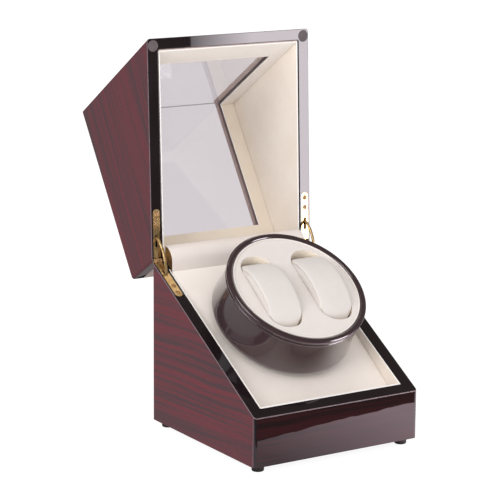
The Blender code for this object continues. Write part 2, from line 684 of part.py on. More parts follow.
def make_controls(case, looks):
    z, face = CONTROLS_HEIGHT, DEPTH + GAP
    outline = rectangle(-PLATE_HALF_WIDTH, PLATE_HALF_WIDTH, z - PLATE_HALF_HEIGHT, z + PLATE_HALF_HEIGHT)
    plate = place("control_plate", prism_y(outline, face, face + PLATE_THICKNESS), looks["plastic"], case)
    inlet = moved(along("Y", rod(0.0042, -0.01, 0.01)), INLET_X, DEPTH, z)
    stem = moved(along("Y", rod(0.0023, -0.01, 0.01)), KNOB_X, DEPTH, z)
    window = box((SWITCH_X - 0.0043, SWITCH_X + 0.0043), (DEPTH - 0.01, DEPTH + 0.01), (z - 0.007, z + 0.007))
    cut(plate, place("inlet_hole", inlet, None, case), place("knob_hole", stem, None, case))
    cut(plate, place("switch_hole", window, None, case))
    front = PLATE_THICKNESS + 2 * GAP
    profile = [(0, -0.011), (0.0039, -0.011), (0.0039, front), (0.0055, front), (0.0055, front + 0.001)]
    profile += [(0.0029, front + 0.001), (0.0029, -0.008), (0.001, -0.008), (0.001, front - 0.001)]
    profile += [(0, front - 0.001)]
    jack = moved(along("Y", turned(profile, 24)), INLET_X, DEPTH, z)
    place("power_inlet", jack, looks["plastic"], case, radians(35))
    profile = [(0, -0.004), (0.002, -0.004), (0.002, front), (0.0065, front), (0.0065, front + 0.008)]
    profile += [(0.0058, front + 0.009), (0, front + 0.009)]
    turned_knob = moved(along("Y", turned(profile, 24)), KNOB_X, DEPTH, z)
    knob = place("mode_knob", turned_knob, looks["plastic"], case, radians(35))
    across = (KNOB_X - 0.0004, KNOB_X + 0.0004)
    groove = box(across, (DEPTH + front + 0.0082, DEPTH + 0.02), (z + 0.001, z + 0.008))
    cut(knob, place("knob_groove", groove, None, case))
    rocker = [(-0.004, -0.0054), (0.0024, -0.0062), (0.0016, 0), (0.0024, 0.0062), (-0.004, 0.0054)]
    shape = prism_x(rocker, SWITCH_X - 0.004, SWITCH_X + 0.004)
    bmesh.ops.rotate(shape, matrix=Matrix.Rotation(SWITCH_TILT, 3, "X"), verts=shape.verts)
    place("power_switch", moved(shape, 0, DEPTH + 0.0015, z), looks["plastic"], case)


def make_circuit_board(case, looks):
    """A board on four standoffs, with its relay, chip and terminal block."""
    low, high = 0.0115, 0.0131
    board = place("circuit_board", box((-0.024, 0.024), (0.118, 0.152), (low, high)), looks["circuit"], case)
    for x in (-0.020, 0.020):
        for y in (0.122, 0.148):
            post = moved(rod(0.002, BASE_THICKNESS + GAP, low + 0.0005, 8), x, y)
            join(board, place(f"standoff_{x}_{y}", post, None, case))
    blocks = {
        "terminals": ((-0.014, 0.010), (0.142, 0.149), 0.008),
        "chip": ((-0.005, 0.005), (0.128, 0.136), 0.002),
        "relay": ((0.009, 0.019), (0.126, 0.140), 0.010),
    }
    for name, (x, y, tall) in blocks.items():
        join(board, place(name, box(x, y, (high - 0.0005, high + tall)), None, case))


def make_looks():
    return {
        "veneer": material("veneer", (0.16, 0.045, 0.055), 0.12),
        "black_board": material("black_board", (0.02, 0.018, 0.02), 0.5),
        "leather": material("leather", (0.80, 0.74, 0.67), 0.55),
        "glass": material("glass", (0.85, 0.83, 0.88), 0.03, alpha=0.3),
        "brass": material("brass", (0.75, 0.52, 0.22), 0.25, 1.0),
        "bumper": material("bumper", (0.35, 0.29, 0.31), 0.5),
        "rubber": material("rubber", (0.015, 0.012, 0.012), 0.6),
        "black_gloss": material("black_gloss", (0.045, 0.030, 0.034), 0.10),
        "steel": material("steel", (0.55, 0.55, 0.56), 0.35, 1.0),
        "plastic": material("plastic", (0.02, 0.02, 0.022), 0.4),
        "circuit": material("circuit", (0.02, 0.16, 0.06), 0.5),
    }


def main():
    clear_scene()
    looks = make_looks()
    case, lid, stay_frame, case_leaf, lid_leaf, drum, face_height = make_frames()
    case_boards = make_case(case, looks)
    make_feet(case, looks)
    make_lining(case, looks)
    make_deck(case, drum, looks)
    lid_boards, lid_front = make_lid(lid, looks)
    make_windows(lid, looks)
    make_lid_lining(lid, looks)
    make_hinges(case, lid, stay_frame, case_leaf, lid_leaf, (case_boards, lid_boards), looks)
    make_bumpers(lid_leaf, lid_boards, lid_front, looks)
    make_cup(drum, looks)
    make_bead(drum, face_height, looks)
    make_insert(drum, face_height, looks)
    make_cuffs(drum, face_height, looks)
    make_drive(drum, looks)
    make_controls(case, looks)
    make_circuit_board(case, looks)


main()
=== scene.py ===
"""The watch winder box's looks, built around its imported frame.

Metres. "Case" coordinates have the front face at y = 0 and the underside at z = 0. "Lid" coordinates
are about the hinge axis with the lid closed. "Drum" coordinates stand on the deck, along the drum's axis.
"""

import json
from math import atan2, cos, pi, radians, sin, sqrt, tan

import bmesh
import bpy
from mathutils import Matrix, Vector

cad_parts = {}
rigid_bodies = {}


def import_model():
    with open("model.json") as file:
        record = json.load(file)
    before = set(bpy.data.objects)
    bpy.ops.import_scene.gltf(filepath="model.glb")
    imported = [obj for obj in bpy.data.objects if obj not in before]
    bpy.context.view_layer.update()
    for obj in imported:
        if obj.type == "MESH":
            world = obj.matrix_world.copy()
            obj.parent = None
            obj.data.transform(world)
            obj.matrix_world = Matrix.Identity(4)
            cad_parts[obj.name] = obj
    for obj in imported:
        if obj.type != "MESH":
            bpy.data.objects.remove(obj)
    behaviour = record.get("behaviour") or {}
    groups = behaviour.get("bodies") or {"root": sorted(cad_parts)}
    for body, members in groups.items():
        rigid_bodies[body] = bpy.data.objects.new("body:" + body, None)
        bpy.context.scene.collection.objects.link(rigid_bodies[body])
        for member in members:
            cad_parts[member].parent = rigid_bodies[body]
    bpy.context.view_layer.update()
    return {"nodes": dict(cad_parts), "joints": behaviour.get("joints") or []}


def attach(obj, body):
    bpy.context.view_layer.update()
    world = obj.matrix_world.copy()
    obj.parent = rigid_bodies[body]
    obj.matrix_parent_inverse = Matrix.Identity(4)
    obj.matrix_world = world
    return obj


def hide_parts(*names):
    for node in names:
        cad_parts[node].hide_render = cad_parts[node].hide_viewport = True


# The box, as its CAD has it
WIDTH = 0.175
DEPTH = 0.175
BACK_HEIGHT = 0.150
FRONT_HEIGHT = 0.045
LID_HEIGHT = 0.044
FOOT_HEIGHT = 0.006
FOOT_RADIUS = 0.0055
FOOT_INSET = 0.0105
SIDE_WALL = 0.0118
END_WALL = 0.0094
GAP = 0.0003
RIM_GAP = 0.00025
SLOPE = atan2(BACK_HEIGHT - FRONT_HEIGHT, DEPTH)
OPEN_ANGLE = pi / 2 + radians(2.3) + SLOPE
COVER_RADIUS = 0.0134
COVER_SKIRT = 0.009
COVER_HALF_LENGTH = 0.0738
BUMPER_RADIUS = 0.0052
BUMPER_X = 0.0815
BUMPER_PLACE = 0.1970
HINGE_X = 0.0818
WINDOW_HALF_WIDTH = 0.0593
REBATE = 0.003

# The drum, heights above the deck
MODULE_TILT = radians(35.8)
DECK_BACK_HEIGHT = 0.1420
FACE_Y, FACE_Z = 0.0674, 0.1367
FACE_RADIUS = 0.0605
FACE_THICKNESS = 0.004
PIPING = 0.0008
BEAD_OUTER = 0.0666
CUP_TOP_RADIUS = 0.0648
CUP_TOP = 0.0439
CUP_BELLY_RADIUS = 0.0674
CUP_BELLY = 0.0125
CUP_BOTTOM = 0.0015
CUP_WALL = 0.0025
CUP_CORNER = 0.0134
CUP_INNER_HEIGHT = 0.030
CUP_INNER_FLARE = 0.0004
BORE_RADIUS = 0.0032
HUB_RADIUS = 0.009
HUB_TOP_RADIUS = 0.008
HUB_TOP = 0.012
POCKET_X = 0.027
POCKET_HALF_WIDTH = 0.0168
POCKET_HALF_LENGTH = 0.0425
POCKET_CORNER = 0.0155
POCKET_FLOOR = 0.022
POCKET_WALL = 0.0015
CUFF_HALF_WIDTH = 0.0166
CUFF_HALF_LENGTH = 0.0395
CUFF_RISE = 0.010
CUFF_ARCH = 0.024
CUFF_THICKNESS = 0.0118

# A cuff's sewn groove, in shares of its half width and its thickness
SEAM_ACROSS = 0.97
SEAM_TOP = 0.10
SEAM_BOTTOM = 0.24

# Small hardware
CONTROL_PLATE_EASE = 0.0005
CONTROL_EASE = 0.0003
LEAF_EASE = 0.00045
SCREW_PLACES = (0.0339, 0.0430)
SCREW_HEAD_RADIUS = 0.0021
SCREW_SHANK_RADIUS = 0.00105
SCREW_LENGTH = 0.0090
STAY_RADIUS = 0.0139
STAY_BOW = 0.0068
STAY_MIDDLE = radians(22)
STAY_REACH = radians(70)

# Lacquer and leather roundings
SKIN = 0.00001
CASE_CORNER = 0.0032
LID_CORNER = 0.0026
LID_RIDGE = 0.0014
RIM_EDGE = 0.0007
CASE_RIDGE = 0.0006
RIM_INNER_EDGE = 0.0011
LINING_EASE = 0.00045
DECK_EASE = 0.0008
COVER_EASE = 0.0008
BOARD_END = 0.074
ROUND = 160

# How near a surface a face's middle lies, where the face belongs to that surface
RIM_NEAR = 0.0004
RIM_EDGE_NEAR = 0.0008
REBATE_NEAR = 0.0008
SKIN_NEAR = 0.0009
END_NEAR = 0.0012

# The part of a normal across a flat face, across one that only starts to turn, and over a rounded edge
# painted with a highlight
FLAT = 0.985
NEARLY_FLAT = 0.93
HIGHLIGHT_LEAST, HIGHLIGHT_MOST = 0.15, 0.96

# Camera: where it stands, and where it looks
CAMERA_PLACE = (-1.0490, -1.6392, 0.5849)
CAMERA_YAW, CAMERA_PITCH, CAMERA_ROLL = 0.57161, 0.21440, 0.00798
CAMERA_LENS = 154.375

for old in list(bpy.data.objects):
    bpy.data.objects.remove(old, do_unlink=True)
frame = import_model()
HINGE = Vector(next(j for j in frame["joints"] if j["name"] == "lid_hinge")["pos_m"])
CASE = Matrix.Translation(HINGE - Vector((0, DEPTH, BACK_HEIGHT)))
LID = Matrix.Translation(HINGE) @ Matrix.Rotation(-OPEN_ANGLE, 4, "X")
# On a rim, Y runs away from the hinge and Z into the wood
CASE_RIM = Matrix.Translation(HINGE) @ Matrix.Rotation(pi + SLOPE, 4, "X")
LID_RIM = LID @ Matrix.Rotation(pi + SLOPE, 4, "X") @ Matrix.Diagonal((1, 1, -1, 1))
DECK_BACK = DEPTH - COVER_RADIUS
FACE_HEIGHT = (DECK_BACK - FACE_Y) * sin(MODULE_TILT) - (DECK_BACK_HEIGHT - FACE_Z) * cos(MODULE_TILT)
DRUM_FOOT = (0, FACE_Y + FACE_HEIGHT * sin(MODULE_TILT), FACE_Z - FACE_HEIGHT * cos(MODULE_TILT))
DRUM = CASE @ Matrix.Translation(DRUM_FOOT) @ Matrix.Rotation(MODULE_TILT, 4, "X")


# ---------------- node helpers


class Nodes:
    """A material's node tree, with short ways to add nodes to it."""

    def __init__(self, name):
        self.material = bpy.data.materials.new(name)
        self.material.use_nodes = True
        self.tree = self.material.node_tree
        self.shader = self.tree.nodes["Principled BSDF"]

    def add(self, kind, **settings):
        node = self.tree.nodes.new(kind)
        for name, value in settings.items():
            setattr(node, name, value)
        return node

    def feed(self, socket, value):
        if isinstance(value, bpy.types.NodeSocket):
            self.tree.links.new(value, socket)
        elif isinstance(value, tuple) and len(value) == 3 and socket.type == "RGBA":
            socket.default_value = (*value, 1)
        else:
            socket.default_value = value

    def set(self, **values):
        """Values or sockets for the shader's inputs, with _ for a space in a name."""
        for name, value in values.items():
            self.feed(self.shader.inputs[name.replace("_", " ")], value)

    def math(self, operation, first, second):
        node = self.add("ShaderNodeMath", operation=operation)
        self.feed(node.inputs[0], first)
        self.feed(node.inputs[1], second)
        return node.outputs[0]

    def place(self):
        return self.add("ShaderNodeTexCoord").outputs["Object"]

    def lengths(self, directions, scales):
        """The place measured along three directions, each times its scale."""
        joined = self.add("ShaderNodeCombineXYZ")
        for index, (direction, scale) in enumerate(zip(directions, scales)):
            dot = self.add("ShaderNodeVectorMath", operation="DOT_PRODUCT")
            self.feed(dot.inputs[0], self.place())
            dot.inputs[1].default_value = Vector(direction) * scale
            self.feed(joined.inputs[index], dot.outputs["Value"])
        return joined.outputs[0]

    def noise(self, vector, scale=1.0, detail=2.0, roughness=0.5):
        node = self.add("ShaderNodeTexNoise")
        self.feed(node.inputs["Vector"], vector)
        node.inputs["Scale"].default_value = scale
        node.inputs["Detail"].default_value = detail
        node.inputs["Roughness"].default_value = roughness
        return node.outputs["Fac"]

    def ramp(self, factor, *stops, ease=False):
        node = self.add("ShaderNodeValToRGB")
        node.color_ramp.interpolation = "EASE" if ease else "LINEAR"
        elements = node.color_ramp.elements
        while len(elements) < len(stops):
            elements.new(0.5)
        for element, (place, colour) in zip(elements, stops):
            element.position = place
            element.color = (*colour, 1) if isinstance(colour, tuple) else (colour, colour, colour, 1)
        self.feed(node.inputs[0], factor)
        return node.outputs[0]

    def mix(self, factor, first, second, blend="MIX"):
        node = self.add("ShaderNodeMix", data_type="RGBA", blend_type=blend)
        self.feed(node.inputs["Factor"], factor)
        self.feed(node.inputs[6], first)
        self.feed(node.inputs[7], second)
        return node.outputs[2]

    def bump(self, height, strength, distance, normal=None):
        node = self.add("ShaderNodeBump")
        node.inputs["Strength"].default_value = strength
        node.inputs["Distance"].default_value = distance
        self.feed(node.inputs["Height"], height)
        if normal:
            self.feed(node.inputs["Normal"], normal)
        return node.outputs[0]


# ---------------- materials


GRAIN_SWAY = 0.011


def veneer(name, along, across, deep, shade_tone=1.0, depth=1.0):
    """Dark red veneer with grey-brown stripes under thick clear lacquer.

    The grain runs along the first direction. tone scales its colour and depth darkens its stripes; set for
    each board, both paint its light and shade.
    """
    n = Nodes(name)
    directions = (along, across, deep)
    sway = n.noise(n.lengths(directions, (7, 12, 5)), detail=2)

    def grain(scales, roughness):
        """Noise stretched along the grain, swaying with the rest."""
        shifted = n.add("ShaderNodeVectorMath", operation="ADD")
        offset = n.add("ShaderNodeCombineXYZ")
        n.feed(offset.inputs[1], n.math("MULTIPLY", sway, GRAIN_SWAY * scales[1]))
        n.feed(shifted.inputs[0], n.lengths(directions, scales))
        n.feed(shifted.inputs[1], offset.outputs[0])
        return n.noise(shifted.outputs[0], detail=2, roughness=roughness)

    broad = grain((2.2, 70, 12), 0.5)
    stripes = grain((4, 300, 30), 0.55)
    lines = grain((7, 760, 60), 0.6)
    fibres = grain((45, 2100, 200), 0.7)
    mixed = n.math("ADD", n.math("MULTIPLY", broad, 0.24), n.math("MULTIPLY", stripes, 0.36))
    mixed = n.math("ADD", mixed, n.math("MULTIPLY", lines, 0.26))
    mixed = n.math("ADD", mixed, n.math("MULTIPLY", fibres, 0.14))
    brown, red = (0.050 / depth, 0.022 / depth, 0.028 / depth), (0.122, 0.017, 0.026)
    stops = [
        (place, tuple(shade_tone * (b + (r - b) * share) for b, r in zip(brown, red)))
        for place, share in ((0.42, 0.0), (0.47, 0.30), (0.52, 0.75), (0.59, 1.0))
    ]
    colour = n.ramp(mixed, *stops)
    specks = n.noise(n.lengths(directions, (240, 4200, 500)), detail=1)
    pores = n.ramp(specks, (0.30, 0.55), (0.42, 1.0))
    colour = n.mix(0.35, colour, pores, "MULTIPLY")
    ripple = n.noise(n.place(), scale=40, detail=1)
    n.set(Base_Color=colour, Roughness=n.ramp(mixed, (0.4, 0.46), (0.6, 0.38)), Specular_IOR_Level=0.0)
    n.set(Normal=n.bump(fibres, 0.10, 0.0001), Coat_Weight=1.0, Coat_Roughness=0.025, Coat_IOR=1.6)
    n.set(Coat_Normal=n.bump(ripple, 0.15, 0.0012))
    return n.material


def black_lacquer():
    """Black gloss with faint clouds and fine scuffs."""
    n = Nodes("black_lacquer")
    cloud = n.noise(n.place(), scale=26, detail=3)
    directions = ((0.8, 0.5, 0.3), (-0.5, 0.8, 0.2), (0, 0.2, 1))
    scuffs = n.noise(n.lengths(directions, (60, 900, 300)), detail=2)
    n.set(Base_Color=n.ramp(cloud, (0.3, (0.0060, 0.0035, 0.0045)), (0.7, (0.0105, 0.0065, 0.0080))))
    n.set(Roughness=n.ramp(scuffs, (0.45, 0.30), (0.75, 0.40)), Coat_Weight=1.0, Coat_Roughness=0.02)
    n.set(Coat_Normal=n.bump(n.noise(n.place(), scale=30, detail=0), 0.04, 0.0006), Coat_IOR=1.6)
    n.set(Specular_IOR_Level=0.0)
    return n.material


def leather(name, light, shade):
    """Cream leather with a fine pebbled grain, a little warmer in its creases."""
    n = Nodes(name)
    cloud = n.noise(n.place(), scale=34, detail=4, roughness=0.6)
    grain = n.add("ShaderNodeTexVoronoi", feature="DISTANCE_TO_EDGE")
    grain.inputs["Scale"].default_value = 1500
    n.feed(grain.inputs["Vector"], n.place())
    creases = n.ramp(grain.outputs["Distance"], (0.0, 0.0), (0.22, 1.0), ease=True)
    pores = n.noise(n.place(), scale=5200, detail=2)
    colour = n.mix(n.ramp(cloud, (0.35, 0.0), (0.7, 1.0)), light, shade)
    colour = n.mix(n.math("MULTIPLY", n.math("SUBTRACT", 1.0, creases), 0.22), colour, (0.60, 0.50, 0.40))
    height = n.math("ADD", creases, n.math("MULTIPLY", pores, 0.35))
    wrinkles = n.bump(n.noise(n.place(), scale=130, detail=3, roughness=0.6), 0.10, 0.0008)
    n.set(Base_Color=colour, Roughness=n.ramp(cloud, (0.3, 0.50), (0.7, 0.60)), Sheen_Weight=0.12)
    n.set(Normal=n.bump(height, 0.22, 0.00012, wrinkles), Specular_IOR_Level=0.4, Sheen_Roughness=0.4)
    return n.material


def piano_black(name, light, dark):
    """Brown-black polished moulding."""
    n = Nodes(name)
    cloud = n.noise(n.place(), scale=18, detail=4)
    n.set(Base_Color=n.ramp(cloud, (0.3, dark), (0.7, light)))
    n.set(Roughness=n.ramp(n.noise(n.place(), scale=700, detail=2), (0.4, 0.16), (0.7, 0.22)))
    n.set(Coat_Weight=1.0, Coat_Roughness=0.04, Coat_IOR=1.6)
    n.set(Coat_Normal=n.bump(n.noise(n.place(), scale=40, detail=1), 0.06, 0.002))
    return n.material


def metal(name, light, dark, rough, brushed=0.0, metallic=1.0):
    """Polished or brushed metal, tarnished in clouds and finely scratched."""
    n = Nodes(name)
    cloud = n.noise(n.place(), scale=160, detail=4, roughness=0.65)
    scratches = n.noise(n.lengths(((1, 0, 0), (0, 0.8, 0.6), (0, -0.6, 0.8)), (5200, 500, 900)), detail=3)
    n.set(Base_Color=n.ramp(cloud, (0.38, dark), (0.62, light)), Metallic=metallic)
    n.set(Roughness=n.ramp(scratches, (0.35, rough), (0.75, rough + 0.10)))
    n.set(Normal=n.bump(scratches, 0.03 + brushed, 0.00005))
    return n.material


def glass():
    """Lightly tinted window glass."""
    n = Nodes("glass")
    n.set(Base_Color=(0.625, 0.585, 0.61), Roughness=0.0, IOR=1.45, Transmission_Weight=1.0)
    return n.material


def matt(name, light, dark, rough, scale, depth, sheen=0.0, gloss=0.5):
    """Rubber, felt, board or moulded plastic: two near colours in clouds, and a fine surface texture."""
    n = Nodes(name)
    cloud = n.noise(n.place(), scale=scale / 12, detail=3)
    fine = n.noise(n.place(), scale=scale, detail=3, roughness=0.6)
    n.set(Base_Color=n.ramp(cloud, (0.35, dark), (0.65, light)))
    n.set(Roughness=n.ramp(fine, (0.35, rough - 0.06), (0.65, rough + 0.06)), Sheen_Weight=sheen)
    n.set(Normal=n.bump(fine, 0.35, depth), Specular_IOR_Level=gloss)
    return n.material


def circuit_green():
    """A printed board: green resist, with copper tracks showing as paler lines."""
    n = Nodes("circuit")
    tracks = n.add("ShaderNodeTexBrick", offset=0.35)
    tracks.inputs["Scale"].default_value = 190
    tracks.inputs["Mortar Size"].default_value = 0.05
    n.feed(tracks.inputs["Vector"], n.place())
    tracks.inputs["Color1"].default_value = (0.010, 0.085, 0.030, 1)
    tracks.inputs["Color2"].default_value = (0.014, 0.100, 0.036, 1)
    tracks.inputs["Mortar"].default_value = (0.05, 0.19, 0.07, 1)
    n.set(Base_Color=tracks.outputs["Color"], Roughness=0.4)
    n.set(Normal=n.bump(tracks.outputs["Fac"], 0.2, 0.0001))
    return n.material


def directions_of(matrix):
    """The three axes of a place, as directions in the whole object's frame."""
    turn = matrix.to_3x3()
    return [turn @ Vector(axis) for axis in ((1, 0, 0), (0, 1, 0), (0, 0, 1))]


CASE_X, CASE_Y, CASE_Z = directions_of(CASE)
LID_X, LID_Y, LID_Z = directions_of(LID)
TILT = radians(3)  # the sides' grain isn't quite level
# The veneers are one veneer in lit and shaded copies: each board's tone and stripe depth paint how much light
# it gets
LOOKS = {
    "case_side": veneer("veneer_case_side", CASE_Y - CASE_Z * TILT, CASE_Z + CASE_Y * TILT, CASE_X, 0.90),
    "case_front": veneer("veneer_case_front", CASE_X, CASE_Z, CASE_Y, 0.22, 2.5),
    "lid_side": veneer("veneer_lid_side", LID_Y + LID_Z * TILT, LID_Z - LID_Y * TILT, LID_X, 0.80),
    "lid_front": veneer("veneer_lid_front", LID_X, LID_Z, LID_Y, 0.50, 1.6),
    "lid_top": veneer("veneer_lid_top", LID_X, LID_Y, LID_Z, 0.70, 1.2),
    "black": black_lacquer(),
    # A paler colour on the rounded lacquer edges: a painted highlight
    "edge": matt("lacquer_edge_painted_highlight", (0.165, 0.12, 0.135), (0.13, 0.095, 0.105), 0.30, 1500, 0.00002),
    # Pale taupe on the windows' cut edges: painted reflection of the bright floor, and painted light in the
    # opening's shade
    "cut_edge_painted_light": matt("cut_edge_painted_light", (0.53, 0.405, 0.365), (0.465, 0.35, 0.315), 0.35, 1500, 0.00004),
    # Lighter than the gap's shade leaves it: painted light in the rebate
    "rebate": matt("rebate", (0.24, 0.155, 0.15), (0.19, 0.12, 0.12), 0.35, 1500, 0.00004),
    "screw": matt("screw_bronze", (0.46, 0.26, 0.10), (0.32, 0.17, 0.065), 0.35, 2400, 0.00003, 0.0, 0.3),
    # A dark outline on the leaves' eased edges: painted shade and painted dark reflection
    "leaf_edge_shade": matt("leaf_edge_painted_shade", (0.42, 0.25, 0.11), (0.30, 0.17, 0.08), 0.35, 2400, 3e-5, 0.0, 0.3),
    "cover_end": matt("cover_end", (0.20, 0.105, 0.035), (0.085, 0.040, 0.018), 0.25, 3000, 0.00004),
    # The linings' creams are one cream leather in lit and shaded copies: each panel is lightened, darkened or
    # warmed to paint its light, shade and warm bounce
    "leather": leather("leather", (0.845, 0.773, 0.70), (0.805, 0.725, 0.64)),
    "lid_front_leather": leather("lid_front_leather", (0.90, 0.845, 0.80), (0.875, 0.815, 0.765)),
    "lid_top_leather": leather("lid_top_leather", (0.84, 0.752, 0.635), (0.81, 0.718, 0.595)),
    "deck_leather": leather("deck_leather", (0.92, 0.855, 0.80), (0.88, 0.81, 0.75)),
    "cover_leather": leather("cover_leather", (0.82, 0.75, 0.71), (0.785, 0.715, 0.665)),
    # The face and the cuffs are darker copies of that cream, painted shade where light falls strongest; the
    # cuffs face it most and are darker still
    "face": leather("face_leather", (0.705, 0.66, 0.635), (0.675, 0.63, 0.595)),
    # Paler than the face: a painted highlight on the piped ring round its edge
    "trim_highlight": leather("trim_painted_highlight", (0.78, 0.735, 0.70), (0.75, 0.70, 0.66)),
    # Brown in the cuffs' sewn grooves: painted shade
    "seam_shade": leather("seam_painted_shade", (0.42, 0.33, 0.24), (0.37, 0.29, 0.20)),
    # Near white on the linings' piped edges: a painted highlight
    "piping_highlight": leather("piping_painted_highlight", (0.95, 0.93, 0.91), (0.95, 0.925, 0.90)),
    # Much paler than the face: painted light in the pockets' shade
    "pocket": leather("pocket_painted_light_leather", (0.94, 0.86, 0.74), (0.92, 0.83, 0.70)),
    "cuff": leather("cuff_shaded_copy_leather", (0.655, 0.622, 0.60), (0.628, 0.593, 0.562)),
    "drum": piano_black("drum_gloss", (0.044, 0.025, 0.029), (0.036, 0.020, 0.023)),
    # A darker copy of the drum's gloss: painted shade that tones down the bead's reflections
    "bead": piano_black("bead_gloss_shaded_copy", (0.034, 0.018, 0.021), (0.027, 0.014, 0.017)),
    "brass": metal("brass", (0.86, 0.64, 0.32), (0.72, 0.48, 0.19), 0.07, metallic=0.92),
    "brass_bar": metal("brass_bar", (0.86, 0.64, 0.32), (0.72, 0.48, 0.19), 0.16, metallic=0.85),
    "steel": metal("steel", (0.62, 0.62, 0.63), (0.46, 0.46, 0.47), 0.28, 0.2),
    "glass": glass(),
    "glass_edge": matt("ground_glass_edge", (0.40, 0.41, 0.41), (0.34, 0.35, 0.35), 0.45, 1800, 0.00004),
    "bumper": matt("bumper", (0.135, 0.108, 0.112), (0.105, 0.083, 0.088), 0.7, 2600, 0.00008, 0.05, 0.15),
    "rubber": matt("rubber", (0.016, 0.013, 0.013), (0.010, 0.008, 0.008), 0.55, 1800, 0.00008),
    "board": matt("black_board", (0.022, 0.020, 0.021), (0.013, 0.012, 0.013), 0.75, 2200, 0.0001, 0.2),
    "plastic": matt("plastic", (0.020, 0.020, 0.022), (0.014, 0.014, 0.016), 0.38, 3400, 0.00006),
    "circuit": circuit_green(),
}


# ---------------- mesh helpers


def cad_shape(node, whole_faces=False):
    """A CAD node's mesh with its split corners joined. Before a bevel, its flat faces are made whole."""
    shape = bmesh.new()
    shape.from_mesh(frame["nodes"][node].data)
    bmesh.ops.remove_doubles(shape, verts=shape.verts, dist=3e-6)
    if whole_faces:
        bmesh.ops.dissolve_limit(shape, angle_limit=radians(0.4), verts=shape.verts, edges=shape.edges)
    return shape


def sharp_edges(shape, angle=radians(35)):
    return [e for e in shape.edges if len(e.link_faces) == 2 and e.calc_face_angle(0) > angle]


def rounded(shape, edges, radius, segments):
    size = {"offset": radius, "segments": segments, "profile": 0.5}
    bmesh.ops.bevel(shape, geom=edges, affect="EDGES", clamp_overlap=True, **size)
    return shape


def softened(shape, radius, segments, angle=radians(35)):
    return rounded(shape, sharp_edges(shape, angle), radius, segments)


def loft(first, second):
    """A solid between two outlines with the same number of points."""
    shape = bmesh.new()
    low = [shape.verts.new(point) for point in first]
    high = [shape.verts.new(point) for point in second]
    shape.faces.new(low)
    shape.faces.new(high)
    for index in range(len(low)):
        following = (index + 1) % len(low)
        shape.faces.new((low[index], low[following], high[following], high[index]))
    bmesh.ops.recalc_face_normals(shape, faces=shape.faces)
    return shape


def prism_x(outline, low, high):
    return loft([(low, y, z) for y, z in outline], [(high, y, z) for y, z in outline])


def prism_z(outline, low, high):
    return loft([(x, y, low) for x, y in outline], [(x, y, high) for x, y in outline])


def box(x, y, z):
    return prism_z([(x[0], y[0]), (x[1], y[0]), (x[1], y[1]), (x[0], y[1])], *z)


def arc(centre, radii, start, end, steps):
    turns = [start + (end - start) * step / steps for step in range(steps + 1)]
    return [(centre[0] + radii[0] * cos(turn), centre[1] + radii[1] * sin(turn)) for turn in turns]


def rounded_rectangle(centre, half_width, half_length, corner, steps=12):
    outline = []
    for quarter, (side, end) in enumerate([(1, 1), (-1, 1), (-1, -1), (1, -1)]):
        middle = (centre[0] + side * (half_width - corner), centre[1] + end * (half_length - corner))
        outline += arc(middle, (corner, corner), quarter * pi / 2, (quarter + 1) * pi / 2, steps)
    return outline


def turned(profile, segments=ROUND):
    """A closed outline of (radius, height) points spun about Z. Points on the axis are joined."""
    shape = bmesh.new()
    rings = []
    for radius, height in profile:
        turns = [2 * pi * step / segments for step in range(segments)]
        if radius < 1e-7:
            rings.append([shape.verts.new((0, 0, height))] * segments)
        else:
            rings.append([shape.verts.new((radius * cos(t), radius * sin(t), height)) for t in turns])
    for ring, following in zip(rings, rings[1:] + rings[:1]):
        for step in range(segments):
            after = (step + 1) % segments
            corners = [ring[step], ring[after], following[after], following[step]]
            kept = [c for index, c in enumerate(corners) if c is not corners[index - 1]]
            if len(set(kept)) > 2:
                shape.faces.new(kept)
    bmesh.ops.recalc_face_normals(shape, faces=shape.faces)
    return shape


def sleeve(rings, marks):
    """A closed tube through rings of points. marks gives the look of each strip along it."""
    shape = bmesh.new()
    rings = [[shape.verts.new(point) for point in ring] for ring in rings]
    for ring, following in zip(rings, rings[1:]):
        for index, mark in enumerate(marks):
            after = (index + 1) % len(ring)
            face = shape.faces.new((ring[index], ring[after], following[after], following[index]))
            face.material_index = mark
    shape.faces.new(rings[0])
    shape.faces.new(rings[-1])
    return shape


def moved(shape, matrix):
    bmesh.ops.transform(shape, matrix=matrix, verts=shape.verts)
    return shape


def linked(name, data):
    """A new object in the scene."""
    item = bpy.data.objects.new(name, data)
    bpy.context.scene.collection.objects.link(item)
    return item


def temporary(shape):
    mesh = bpy.data.meshes.new("temporary")
    shape.to_mesh(mesh)
    shape.free()
    return linked("temporary", mesh)


def boolean(shape, operation, tool):
    """The exact Boolean of two shapes, both of which it uses up."""
    first, second = temporary(shape), temporary(tool)
    change = first.modifiers.new("cut", "BOOLEAN")
    change.operation, change.solver, change.object = operation, "EXACT", second
    evaluated = first.evaluated_get(bpy.context.evaluated_depsgraph_get())
    result = bmesh.new()
    result.from_mesh(evaluated.to_mesh())
    evaluated.to_mesh_clear()
    for item in (first, second):
        mesh = item.data
        bpy.data.objects.remove(item)
        bpy.data.meshes.remove(mesh)
    return result


